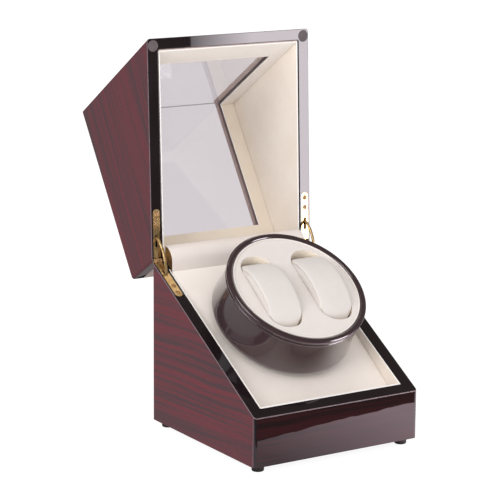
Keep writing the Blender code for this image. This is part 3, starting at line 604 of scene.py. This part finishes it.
def flat_first(mesh, sharp):
    """Sets corner normals in which a whole flat face outweighs the narrow strips beside it."""
    normals = [face.normal.copy() for face in mesh.polygons]
    leader = list(range(len(normals)))

    def group(index):
        while leader[index] != index:
            leader[index] = leader[leader[index]]
            index = leader[index]
        return index

    sharing, around = {}, [[] for _ in mesh.vertices]
    for face in mesh.polygons:
        for key in face.edge_keys:
            sharing.setdefault(key, []).append(face.index)
        for corner in face.vertices:
            around[corner].append(face.index)
    coplanar, smooth = cos(radians(0.1)), cos(sharp)
    for faces in sharing.values():
        if len(faces) == 2 and normals[faces[0]].dot(normals[faces[1]]) > coplanar:
            leader[group(faces[0])] = group(faces[1])
    area = {}
    for face in mesh.polygons:
        area[group(face.index)] = area.get(group(face.index), 0.0) + face.area
    corner_normals = [Vector()] * len(mesh.loops)
    for face in mesh.polygons:
        for loop, corner in zip(face.loop_indices, face.vertices):
            total, counted = Vector(), set()
            for other in around[corner]:
                if group(other) not in counted and face.normal.dot(normals[other]) > smooth:
                    counted.add(group(other))
                    total += normals[other] * area[group(other)]
            corner_normals[loop] = total.normalized()
    mesh.normals_split_custom_set(corner_normals)


def piece(name, shape, looks, body, stands_for, sharp=radians(35), pick=None, weighted=True):
    """Makes a visible piece from a bmesh in the object's frame. pick chooses each face's look."""
    bmesh.ops.recalc_face_normals(shape, faces=shape.faces)
    for face in shape.faces:
        face.smooth = True
        face.material_index = pick(face) if pick else 0
    mesh = bpy.data.meshes.new(name)
    shape.to_mesh(mesh)
    shape.free()
    mesh.set_sharp_from_angle(angle=sharp)
    for look in looks:
        mesh.materials.append(LOOKS[look])
    item = linked(name, mesh)
    if weighted:
        flat_first(mesh, sharp)
    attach(item, body)
    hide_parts(*stands_for)
    return item


# ---------------- lacquered boards


def rim_height(y):
    """How high the case's rim is, in case coordinates."""
    return BACK_HEIGHT - (DEPTH - y) * tan(SLOPE) - RIM_GAP / cos(SLOPE)


def lid_rim_height(y):
    """How high the lid's rim is, in lid coordinates."""
    return y * tan(SLOPE) + RIM_GAP / cos(SLOPE)


def envelope(outline, corner, ridge):
    """The outside of a box as lacquered: a hair smaller, with its upright corners and its edges rounded."""
    half = WIDTH / 2 - SKIN
    shape = prism_x(outline, -half, half)
    upright = []
    for edge in shape.edges:
        along = edge.verts[0].co - edge.verts[1].co
        if abs(along.x) < 1e-6 and abs(along.y) < 1e-6:
            upright.append(edge)
    rounded(shape, upright, corner, 8)
    rim = []
    for edge in shape.edges:
        sloped = [face for face in edge.link_faces if abs(face.normal.z) > 0.3]
        if len(sloped) == 1 and edge.calc_face_angle(0) > 0.5 and abs(sloped[0].normal.y) > 0.2:
            rim.append(edge)
    rounded(shape, rim, RIM_EDGE, 5)
    flat = []
    for edge in shape.edges:
        if edge.calc_face_angle(0) > 0.5 and any(abs(face.normal.z) > 0.98 for face in edge.link_faces):
            flat.append(edge)
    return rounded(shape, flat, ridge, 6)


def stretch(shape, matrix, rules):
    """Closes the joints between boards. A rule moves what lies beyond a place on an axis, on X both ways."""
    inverse = matrix.inverted()
    for vert in shape.verts:
        local = inverse @ vert.co
        for axis, beyond, shift in rules:
            if local[axis] > beyond:
                local[axis] += shift
            elif axis == 0 and local[axis] < -beyond:
                local[axis] -= shift
        vert.co = matrix @ local


def inner_edge(start, end, into, down):
    """The tool that rounds a rim's inner edge. The wood lies into and down from the edge."""
    start, end, into, down = (Vector(v) for v in (start, end, into, down))
    clear, radius = 0.001, RIM_INNER_EDGE
    outline = [(-clear, -clear), (radius, -clear)]
    outline += arc((radius, radius), (radius, radius), -pi / 2, -pi, 6)
    outline.append((-clear, radius))
    return loft(*([place + into * a + down * b for a, b in outline] for place in (start, end)))


def inner_edges(near, far, height, down):
    """For each board of the case or the lid, the tool for its inner rim edge."""
    half, along = WIDTH / 2 - SIDE_WALL, Vector((0, cos(SLOPE), sin(SLOPE)))
    tools = {}
    for side, x in (("left", -1), ("right", 1)):
        ends = [(x * half, y, height(y)) for y in (near, far)]
        tools[side] = inner_edge(*ends, (x, 0, 0), down)
    ends = [(x * half, near, height(near)) for x in (-1, 1)]
    tools["front"] = inner_edge(*ends, -along, down)
    return tools


def board(node, body, matrix, rules, skin, inner, outside, looks):
    """A CAD board with its joints closed, its inner rim edge rounded and its outside cut to the skin."""
    shape = cad_shape(node)
    stretch(shape, matrix, rules)
    if inner:
        shape = boolean(shape, "DIFFERENCE", moved(inner, matrix))
    shape = boolean(shape, "INTERSECT", moved(skin.copy(), matrix))
    inverse, turn = matrix.inverted(), matrix.to_3x3().inverted()

    def pick(face):
        return outside(inverse @ face.calc_center_median(), turn @ face.normal)

    return piece(f"{node}_lacquered", shape, looks, body, [node], pick=pick, sharp=radians(30))


def on_highlight_edge(depth, lean):
    """Whether a face is a rim's rounded outer edge, painted with a highlight. lean is how far its normal
    turns to the rim's.
    """
    return depth < RIM_EDGE_NEAR and HIGHLIGHT_LEAST < lean < HIGHLIGHT_MOST


def case_outside(place, normal):
    """0 is the black lacquer of rim and corners, 1 the sides' veneer, 2 the ends' and 3 a painted highlight
    on a rounded edge or corner.
    """
    below = (rim_height(place.y) - place.z) * cos(SLOPE)
    on_side = abs(place.x) > WIDTH / 2 - CASE_CORNER / 2 and normal.x * place.x > 0
    on_end = place.y < SKIN_NEAR or place.y > DEPTH - SKIN_NEAR
    if (on_side or on_end) and on_highlight_edge(below, normal.z * cos(SLOPE) - normal.y * sin(SLOPE)):
        return 3
    if below < RIM_NEAR or normal.z < -0.7:
        return 0
    if on_side and abs(normal.x) > NEARLY_FLAT:
        # Where a corner only starts to turn, its faces take the painted highlight
        return 1 if abs(normal.x) > FLAT else 3
    return 2 if on_end and abs(normal.y) > FLAT else 0


def lid_outside(place, normal):
    """0 is black lacquer, 1 to 3 the sides', ends' and top's veneer, 4 and 5 a window's cut edge and
    rebate, both coloured paler as painted light, and 6 a painted highlight on a rounded edge."""
    above = (place.z - lid_rim_height(place.y)) * cos(SLOPE)
    on_side = abs(place.x) > WIDTH / 2 - LID_CORNER / 2
    on_front = place.y < END_NEAR - DEPTH
    on_top = place.z > LID_HEIGHT - SKIN_NEAR
    if (on_side or on_front) and on_highlight_edge(above, normal.y * sin(SLOPE) - normal.z * cos(SLOPE)):
        return 6
    if above < RIM_NEAR:
        return 0
    # The rebate's wall, coloured as painted light
    if abs(abs(place.x) - WINDOW_HALF_WIDTH - REBATE) < REBATE_NEAR and abs(normal.x) > 0.7:
        return 5
    # The opening's cut edge, coloured pale as painted light
    if abs(place.x) < WINDOW_HALF_WIDTH + REBATE and not (on_top or on_front):
        return 4
    if on_side and normal.x * place.x > 0 and abs(normal.x) > 0.6:
        return 1
    if on_top and normal.z > 0.6:
        return 3
    on_end = on_front or place.y > -END_NEAR
    return 2 if on_end and abs(normal.y) > 0.3 else 0


def make_boards():
    """The nine lacquered boards, each cut to the skin of its own box."""
    down = Vector((0, sin(SLOPE), -cos(SLOPE)))
    ends = (0, BOARD_END, GAP)
    upper = (2, LID_HEIGHT - END_WALL - 2 * GAP, GAP)

    front, back = SKIN, DEPTH - SKIN
    top = [(back, rim_height(back) - SKIN), (front, rim_height(front) - SKIN)]
    skin = envelope([(front, SKIN), (back, SKIN), *top], CASE_CORNER, CASE_RIDGE)
    inner = inner_edges(END_WALL, DEPTH - END_WALL, rim_height, down)
    looks = ["black", "case_side", "case_front", "edge"]
    for node, rules in (("left", []), ("right", []), ("front", [ends]), ("back", [ends])):
        board(f"case_{node}", "case", CASE, rules, skin, inner.get(node), case_outside, looks)
    skin.free()

    front, back, top = SKIN - DEPTH, -SKIN, LID_HEIGHT - SKIN
    rim = [(front, lid_rim_height(front) + SKIN), (back, lid_rim_height(back) + SKIN)]
    skin = envelope([*rim, (back, top), (front, top)], LID_CORNER, LID_RIDGE)
    inner = inner_edges(END_WALL - DEPTH, -END_WALL, lid_rim_height, -down)
    looks = ["black", "lid_side", "lid_front", "lid_top", "cut_edge_painted_light", "rebate", "edge"]
    rows = {"left": [], "right": [], "front": [ends, upper], "top": [ends], "back": [ends, upper]}
    for node, rules in rows.items():
        board(f"lid_{node}", "lid", LID, rules, skin, inner.get(node), lid_outside, looks)
    skin.free()


# ---------------- leather


def make_linings():
    """Thin padded boards, piped along the rims and round the windows, their piped edges painted pale as a
    highlight.
    """
    case_rim = Vector((0, -sin(SLOPE), cos(SLOPE)))
    lid_rim = LID.to_3x3() @ -case_rim
    # The lid's front and top linings take their own lit and shaded copies of the cream
    windows = {
        "lid_lining_front": ("lid_front_leather", LID_Y),
        "lid_lining_top": ("lid_top_leather", LID_Z),
    }
    for body, rim, parts in (
        ("case", case_rim, ("lining_left", "lining_right", "lining_front")),
        ("lid", lid_rim, [f"lid_lining_{side}" for side in ("left", "right", "front", "top", "back")]),
    ):
        for node in parts:
            look, through = windows.get(node, ("leather", None))

            def pick(face):
                """1 is the piped edge, painted pale as a highlight: whatever edges a window's lining, and
                elsewhere what faces the rim.
                """
                if through:
                    return int(abs(face.normal.dot(through)) < 0.9)
                return int(face.normal.dot(rim) > 0.45)

            shape = softened(cad_shape(node, True), LINING_EASE, 4)
            piece(f"{node}_leather", shape, [look, "piping_highlight"], body, [node], pick=pick)


def make_deck_and_cover():
    """The padded deck under the drum, and the cover that rounds off the hinge side."""
    shape = softened(cad_shape("deck", True), DECK_EASE, 4)
    piece("deck_leather", shape, ["deck_leather"], "case", ["deck"])
    wood_y = -END_WALL - GAP
    radii = (COVER_RADIUS, COVER_RADIUS)
    outline = [(-COVER_RADIUS, -COVER_SKIRT)] + arc((0, 0), radii, pi, pi / 2, 40)
    outline += [(0, GAP), (wood_y, wood_y * tan(SLOPE) + (GAP - RIM_GAP) / cos(SLOPE))]
    outline += [(wood_y, -COVER_SKIRT)]
    shape = prism_x(outline, -COVER_HALF_LENGTH, COVER_HALF_LENGTH)
    ends = [e for e in sharp_edges(shape) if abs(e.verts[0].co.x - e.verts[1].co.x) < 1e-6]
    rounded(shape, ends, COVER_EASE, 4)
    moved(shape, Matrix.Translation(HINGE))

    def end_face(face):
        return int(abs(face.normal.x) > 0.9)

    looks = ["cover_leather", "cover_end"]
    piece("hinge_cover_leather", shape, looks, "case", ["hinge_cover"], pick=end_face)


# ---------------- drum


def make_cup():
    """A bowl with a rounded foot, a slightly bellied side and a hub for the shaft."""
    centre, wall = CUP_BELLY_RADIUS - CUP_CORNER, CUP_WALL
    outside = [(BORE_RADIUS, CUP_BOTTOM)]
    outside += arc((centre, CUP_BELLY), (CUP_CORNER, CUP_BELLY - CUP_BOTTOM), -pi / 2, 0, 24)
    steps = 16
    for step in range(1, steps + 1):
        t = step / steps
        share = 1 - (1 - t) ** 2 * (1 + 0.35 * t) - 0.15 * t * (1 - t)
        narrowing = (CUP_BELLY_RADIUS - CUP_TOP_RADIUS) * share
        outside.append((CUP_BELLY_RADIUS - narrowing, CUP_BELLY + (CUP_TOP - CUP_BELLY) * t))
    radius = CUP_TOP_RADIUS - wall
    inside = [(radius, CUP_TOP), (radius + CUP_INNER_FLARE, CUP_INNER_HEIGHT)]
    radii = (CUP_CORNER - wall, CUP_BELLY - CUP_BOTTOM - wall)
    inside += arc((centre, CUP_BELLY), radii, 0, -pi / 2, 12)
    hub = [(HUB_RADIUS, CUP_BOTTOM + wall), (HUB_TOP_RADIUS, HUB_TOP), (BORE_RADIUS, HUB_TOP)]
    shape = moved(turned(outside + inside + hub), DRUM)
    piece("drum_cup_moulding", shape, ["drum"], "drum", ["drum_cup"])


def make_bead():
    """The upper bead covers the face's edge, and a smaller one hides the joint with the cup."""
    inner, low = FACE_RADIUS + GAP, CUP_TOP + GAP
    middle, half = (inner + BEAD_OUTER) / 2, (BEAD_OUTER - inner) / 2
    outline = [(inner, low)]
    outline += arc((middle, FACE_HEIGHT - 0.0006), (half, 0.0026), pi, -pi / 3, 40)
    outline += arc((BEAD_OUTER - 0.0022, low + 0.0015), (0.0015, 0.0015), pi / 3, -pi / 2, 16)
    shape = moved(turned(outline, 200), DRUM)
    piece("drum_bead_moulding", shape, ["bead"], "drum", ["drum_bead"])


def in_plane(shape, height):
    """The sharp edges that lie at a height."""
    edges = sharp_edges(shape, radians(60))
    return [e for e in edges if all(abs(vert.co.z - height) < 1e-6 for vert in e.verts)]


def make_insert():
    """The cream face, with a pocket under each slot and soft lips where the leather turns in. The pockets'
    leather is paler: painted light in their shade.
    """
    top = FACE_HEIGHT
    turns = [2 * pi * step / ROUND for step in range(ROUND)]
    disc = [(FACE_RADIUS * cos(turn), FACE_RADIUS * sin(turn)) for turn in turns]
    shape = prism_z(disc, top - FACE_THICKNESS, top)
    size = (POCKET_HALF_WIDTH, POCKET_HALF_LENGTH, POCKET_CORNER)
    for side in (-1, 1):
        outer = rounded_rectangle((side * POCKET_X, 0), *(length + POCKET_WALL for length in size))
        shape = boolean(shape, "UNION", prism_z(outer, POCKET_FLOOR - POCKET_WALL, top - 0.001))
    for side in (-1, 1):
        slot = rounded_rectangle((side * POCKET_X, 0), *size)
        shape = boolean(shape, "DIFFERENCE", prism_z(slot, POCKET_FLOOR, top + 0.01))
    slots = [e for e in in_plane(shape, top) if e.verts[0].co.xy.length < FACE_RADIUS - 0.001]
    rounded(shape, slots, 0.0004, 3)
    rim = [
        e for e in in_plane(shape, top)
        if all(vert.co.xy.length > FACE_RADIUS - 0.0001 for vert in e.verts)
    ]
    rounded(shape, rim, 0.0007, 4)
    # A piped ring round the face's edge, coloured paler than the face as a painted highlight
    ring = arc((FACE_RADIUS - PIPING, top + 0.0003), (PIPING, PIPING), 0, 2 * pi, 16)[:-1]
    shape = boolean(shape, "UNION", turned(ring, 200))
    inverse = DRUM.inverted()

    def pick(face):
        place = inverse @ face.calc_center_median()
        if place.xy.length > FACE_RADIUS - 2 * PIPING - 0.00005:
            return 1
        # Faces below the face's top are the pockets, coloured as painted light
        return 2 if place.z < top - 0.0005 else 0

    looks = ["face", "trim_highlight", "pocket"]
    piece("drum_face_leather", moved(shape, DRUM), looks, "drum", ["drum_insert"], pick=pick)


def cuff_section():
    """Half of a cuff's cross-section: how far from its middle, and how deep as a share of its thickness."""
    crown = [(0.0, -0.030), (0.30, -0.028), (0.60, -0.020), (0.80, -0.006), (0.91, 0.010), (0.955, 0.025)]
    upper_piping = [(0.985, 0.050), (1.0, 0.080), (0.965, 0.105)]
    groove = [(0.965, 0.130), (1.0, 0.155), (1.0, 0.175), (0.965, 0.200), (0.965, 0.225)]
    side = [(1.0, 0.25), (1.0, 0.55), (1.0, 0.88), (0.985, 0.95), (0.95, 0.99)]
    inner_face = [(0.85, 1.0), (0.5, 1.0), (0.0, 1.0)]
    points = crown + upper_piping + groove + side + inner_face
    return [(across * CUFF_HALF_WIDTH, deep) for across, deep in points]


def in_seam(point):
    """Whether a point of the section lies in the sewn groove beside the piped edge, which is coloured brown
    as painted shade.
    """
    across, deep = point
    return abs(across) < SEAM_ACROSS * CUFF_HALF_WIDTH and SEAM_TOP < deep < SEAM_BOTTOM


def make_cuff(side):
    """An arch of padded leather, piped along both edges, whose legs go down into the pocket."""
    half = cuff_section()
    section = half + [(-across, deep) for across, deep in half[-2:0:-1]]
    middle = FACE_HEIGHT + CUFF_RISE - CUFF_ARCH
    foot = POCKET_FLOOR + 0.0005
    legs, steps = 4, 72
    stations = [(0.0, foot + (middle - foot) * leg / legs) for leg in range(legs)]
    stations += [(pi * step / steps, middle) for step in range(steps + 1)]
    stations += [(pi, middle - (middle - foot) * leg / legs) for leg in range(1, legs + 1)]
    corner = POCKET_CORNER - 0.001
    rings = []
    for turn, height in stations:
        ring = []
        for across, deep in section:
            thick = CUFF_THICKNESS * deep
            length = (CUFF_HALF_LENGTH - thick) * cos(turn)
            tall = (CUFF_ARCH - thick) * sin(turn)
            past = max(0.0, abs(length) - (CUFF_HALF_LENGTH - corner))
            room = CUFF_HALF_WIDTH - corner + sqrt(max(0.0, corner**2 - past**2))
            x = max(-room, min(room, across)) if past else across
            ring.append((side * POCKET_X + x, length, height + tall))
        rings.append(ring)
    # The groove's faces take the brown look: painted shade along the groove
    marks = [int(in_seam(a) and in_seam(b)) for a, b in zip(section, section[1:] + section[:1])]
    shape = moved(sleeve(rings, marks), DRUM)
    body = "cuff_left" if side < 0 else "cuff_right"
    made = piece(
        f"{body}_leather", shape, ["cuff", "seam_shade"], body, [body],
        sharp=radians(60), pick=lambda face: face.material_index, weighted=False,
    )


# ---------------- brass, glass and small parts


def dressed(node, body, looks, radius, flat=None):
    """A CAD part with its edges eased. Faces that don't look along flat take the second look."""
    shape = softened(cad_shape(node, True), radius, 2, radians(30))

    def pick(face):
        return int(flat is not None and abs(face.normal.dot(flat)) < 0.97)

    piece(f"{node}_finished", shape, looks, body, [node], pick=pick)


def stay_radius(turn):
    """How far a stay's middle line is from the hinge pin: least at its middle, and more towards its ends."""
    return STAY_RADIUS + STAY_BOW * ((turn - STAY_MIDDLE) / STAY_REACH) ** 2


def make_stay(side, x):
    """A bowed flat bar with eased edges."""
    low, high, steps = radians(-45), radians(102), 72
    half_thick, half_wide, ease = 0.001, 0.0011, 0.0003
    section = [(half_wide - ease, half_thick), (half_wide, half_thick - ease)]
    section += [(half_wide, ease - half_thick), (half_wide - ease, -half_thick)]
    section += [(-a, b) for a, b in section[::-1]]
    rings = []
    for step in range(steps + 1):
        turn = low + (high - low) * step / steps
        radii = [(across, stay_radius(turn) + out) for across, out in section]
        rings.append([(x + across, -radius * cos(turn), radius * sin(turn)) for across, radius in radii])
    shape = moved(sleeve(rings, [0] * len(section)), Matrix.Translation(HINGE))
    piece(f"stay_{side}_bar", shape, ["brass_bar"], f"stay_{side}", [f"stay_{side}"])


def make_screws():
    """Countersunk wood screws with a slot across each head, each turned differently."""
    top, shoulder = RIM_GAP + 0.0001, RIM_GAP + 0.0014
    profile = [(0, top), (0.0018, top), (SCREW_HEAD_RADIUS, top + 0.0002), (SCREW_SHANK_RADIUS, shoulder)]
    profile += [(SCREW_SHANK_RADIUS, 0.0078), (0.0004, SCREW_LENGTH), (0, SCREW_LENGTH)]
    number = 0
    for body, rim in (("case", CASE_RIM), ("lid", LID_RIM)):
        for side, x in (("left", -HINGE_X), ("right", HINGE_X)):
            for index, y in enumerate(SCREW_PLACES):
                number += 1
                groove = box((-0.00028, 0.00028), (-0.003, 0.003), (top - 0.001, top + 0.0006))
                moved(groove, Matrix.Rotation(number * 1.1, 4, "Z"))
                shape = boolean(turned(profile, 32), "DIFFERENCE", groove)
                moved(shape, rim @ Matrix.Translation((x, y, 0)))
                node = f"{body}_leaf_{side}_screw_{index + 1}"
                piece(f"{node}_slotted", shape, ["screw"], body, [node])


CONTROLS = [
    ("control_plate", "case", CONTROL_PLATE_EASE),
    ("power_switch", "power_switch", CONTROL_EASE),
    ("mode_knob", "mode_knob", CONTROL_EASE),
]


def pad(radius, low, high, ease, steps, segments):
    """A round pad with its low edge eased."""
    profile = [(0, low)] + arc((radius - ease, low + ease), (ease, ease), -pi / 2, 0, steps)
    return turned(profile + [(radius, high), (0, high)], segments)


def make_bumpers():
    for side, x in (("left", -BUMPER_X), ("right", BUMPER_X)):
        shape = pad(BUMPER_RADIUS, RIM_GAP - 0.0004, 0.0018, 0.0004, 5, 64)
        moved(shape, LID_RIM @ Matrix.Translation((x, BUMPER_PLACE, 0)))
        piece(f"bumper_{side}_pad", shape, ["bumper"], "lid", [f"bumper_{side}"])


def make_feet():
    across = WIDTH / 2 - FOOT_INSET
    for end, y in (("front", FOOT_INSET), ("back", DEPTH - FOOT_INSET)):
        for side, x in (("left", -across), ("right", across)):
            shape = pad(FOOT_RADIUS, -FOOT_HEIGHT, -GAP, 0.0012, 6, 48)
            moved(shape, CASE @ Matrix.Translation((x, y, 0)))
            name = f"foot_{end}_{side}"
            piece(f"{name}_pad", shape, ["rubber"], "case", [name])


def make_hardware():
    for body, rim in (("case", CASE_RIM), ("lid", LID_RIM)):
        across = rim.to_3x3() @ Vector((0, 0, 1))
        for side in ("left", "right"):
            # The leaves' eased edges take the dark outline: painted shade and dark reflection
            looks = ["brass", "leaf_edge_shade"]
            dressed(f"{body}_leaf_{side}", body, looks, LEAF_EASE, across)
    for node, body, ease in CONTROLS:
        dressed(node, body, ["plastic"], ease)
    for side, x in (("left", -HINGE_X), ("right", HINGE_X)):
        make_stay(side, x)
    make_screws()
    make_bumpers()
    make_feet()


CARRIED = {
    "glass": ["window_front", "window_top"],
    "brass": ["hinge_pin_left", "hinge_pin_right"],
    "steel": ["drum_shaft", "drum_nut", "gearbox", "motor", "gearbox_screw_left", "gearbox_screw_right"],
    "board": ["base_board"],
    "circuit": ["circuit_board"],
    "plastic": ["power_inlet"],
}


def dress_carried():
    """Gives their looks to the CAD parts that show as they are. The panes cast no shadow."""
    for look, nodes in CARRIED.items():
        for node in nodes:
            mesh = frame["nodes"][node].data
            mesh.materials.clear()
            mesh.materials.append(LOOKS[look])
    for node, through in (("window_front", LID_Y), ("window_top", LID_Z)):
        pane = frame["nodes"][node]
        pane.visible_shadow = False
        pane.data.materials.append(LOOKS["glass_edge"])
        for face in pane.data.polygons:
            face.material_index = int(abs(face.normal.dot(through)) < 0.5)


# ---------------- camera, lights and floor


def make_camera():
    data = bpy.data.cameras.new("camera")
    data.lens, data.sensor_width = CAMERA_LENS, 36
    data.clip_start, data.clip_end = 0.1, 60
    camera = linked("camera", data)
    yaw, pitch, roll = CAMERA_YAW, CAMERA_PITCH, CAMERA_ROLL
    forward = Vector((sin(yaw) * cos(pitch), cos(yaw) * cos(pitch), -sin(pitch)))
    right = forward.cross(Vector((0, 0, 1))).normalized()
    up = right.cross(forward)
    rolled_right = right * cos(roll) + up * sin(roll)
    rolled_up = up * cos(roll) - right * sin(roll)
    turn = Matrix((rolled_right, rolled_up, -forward)).transposed()
    camera.matrix_world = Matrix.Translation(CAMERA_PLACE) @ turn.to_4x4()
    bpy.context.scene.camera = camera


def area_light(name, place, target, size, power):
    """A square white light that neither gloss nor the camera sees."""
    data = bpy.data.lights.new(name, "AREA")
    data.size, data.energy = size, power
    item = linked(name, data)
    item.location = place
    item.rotation_euler = (Vector(target) - Vector(place)).to_track_quat("-Z", "Y").to_euler()
    item.visible_glossy = item.visible_camera = False


def panel(name, corners, material):
    """A flat piece of the studio, which isn't part of the object."""
    mesh = bpy.data.meshes.new(name)
    mesh.from_pydata(corners, [], [tuple(range(len(corners)))])
    mesh.materials.append(material)
    item = linked(name, mesh)
    return item


def card(name, corners, strength, colour=(1, 1, 1)):
    """A panel whose glow only shows in reflections. A strength that fades is two pairs of X and strength."""
    n = Nodes(name)
    glow = n.add("ShaderNodeEmission")
    glow.inputs["Color"].default_value = (*colour, 1)
    if isinstance(strength, tuple):
        (start, weak), (end, strong) = strength
        across = n.add("ShaderNodeMapRange")
        parts = n.add("ShaderNodeSeparateXYZ")
        n.feed(parts.inputs[0], n.place())
        n.feed(across.inputs["Value"], parts.outputs["X"])
        limits = {"From Min": start, "From Max": end, "To Min": weak, "To Max": strong}
        for socket, limit in limits.items():
            across.inputs[socket].default_value = limit
        strength = across.outputs["Result"]
    n.feed(glow.inputs["Strength"], strength)
    n.tree.links.new(glow.outputs[0], n.tree.nodes["Material Output"].inputs["Surface"])
    item = panel(name, corners, n.material)
    item.visible_camera = item.visible_diffuse = item.visible_shadow = False
    item.visible_transmission = item.visible_volume_scatter = False


def make_world():
    world = bpy.data.worlds.new("studio")
    bpy.context.scene.world = world
    world.use_nodes = True
    tree = world.node_tree
    background = tree.nodes["Background"]
    rays = tree.nodes.new("ShaderNodeLightPath")
    seen, shown = (tree.nodes.new("ShaderNodeMix") for _ in range(2))
    seen.data_type = shown.data_type = "RGBA"
    seen.inputs[6].default_value = (0.88, 0.865, 0.875, 1)  # what lights the object
    seen.inputs[7].default_value = (0.17, 0.14, 0.13, 1)  # what its gloss mirrors
    shown.inputs[7].default_value = (1, 1, 1, 1)
    tree.links.new(rays.outputs["Is Glossy Ray"], seen.inputs["Factor"])
    tree.links.new(rays.outputs["Is Camera Ray"], shown.inputs["Factor"])
    tree.links.new(seen.outputs[2], shown.inputs[6])
    tree.links.new(shown.outputs[2], background.inputs["Color"])


def make_floor():
    n = Nodes("floor")
    cloud = n.noise(n.place(), scale=3, detail=2)
    n.set(Base_Color=n.ramp(cloud, (0.3, 0.17), (0.7, 0.19)), Roughness=0.9, Specular_IOR_Level=0.0)
    n.set(Emission_Color=(1, 1, 1), Emission_Strength=0.92)
    reach = 20
    corners = [(x * reach, y * reach, 0) for x, y in ((-1, -1), (1, -1), (1, 1), (-1, 1))]
    panel("floor", corners, n.material).visible_glossy = False


def make_reflections():
    """The pale tables and softboxes that the gloss mirrors."""
    y0 = HINGE.y - DEPTH
    low = 0.0005
    # A pale table in front, seen in the lower half of the front board
    edge = [(-0.3, -0.048), (-0.038, -0.081), (0.153, -0.107), (0.6, -0.166), (0.6, 0), (-0.3, 0)]
    corners = [(x, y0 + y, low) for x, y in edge]
    card("table_front", corners, ((-0.05, 0.85), (0.13, 3.0)), (1.0, 0.80, 0.88))
    # A pale table behind and to the left, seen in the sides and under the lid's back
    card("table_left", [(-5, y0, low), (-0.09, y0, low), (-0.09, 5, low), (-5, 5, low)], 0.36)
    card("table_back", [(-0.089, 0.0, low), (5, 0.0, low), (5, 5, low), (-0.089, 5, low)], 0.45)
    # A softbox in front on the right, seen in the lid's rim
    edge, wall = 0.470, y0 - 0.67
    corners = [(edge, wall, -0.1), (1.1, wall, -0.1), (1.1, wall, 0.4), (edge, wall, 0.4)]
    card("softbox_right", corners, ((edge, 2.2), (edge + 0.10, 10.5)), (1.0, 0.92, 0.97))
    # Softboxes on the left, one above the other, seen in the drum
    near, far = (-1.5, y0 - 0.9), (-1.9, y0 + 0.3)
    for name, bottom, top, strength, colour in (
        ("softbox_left", 0.5, 1.3, 2.4, (1.0, 0.88, 0.94)),
        ("softbox_high", 1.5, 2.4, 3.4, (1, 1, 1)),
    ):
        corners = [(*near, bottom), (*far, bottom), (*far, top), (*near, top)]
        card(name, corners, strength, colour)


def make_studio():
    make_world()
    make_floor()
    area_light("frontal", (-1.3, -2.0, 0.9), (0, 0, 0.15), 1.6, 8)
    area_light("left", (-2.0, -0.9, 0.8), (0, 0, 0.18), 1.2, 24)
    area_light("above", (0.1, -0.1, 2.2), (0, 0.05, 0.1), 1.6, 5)
    make_reflections()


make_boards()
make_linings()
make_deck_and_cover()
make_cup()
make_bead()
make_insert()
make_cuff(-1)
make_cuff(1)
make_hardware()
dress_carried()
make_camera()
make_studio()
bpy.context.scene.view_settings.view_transform = "Standard"
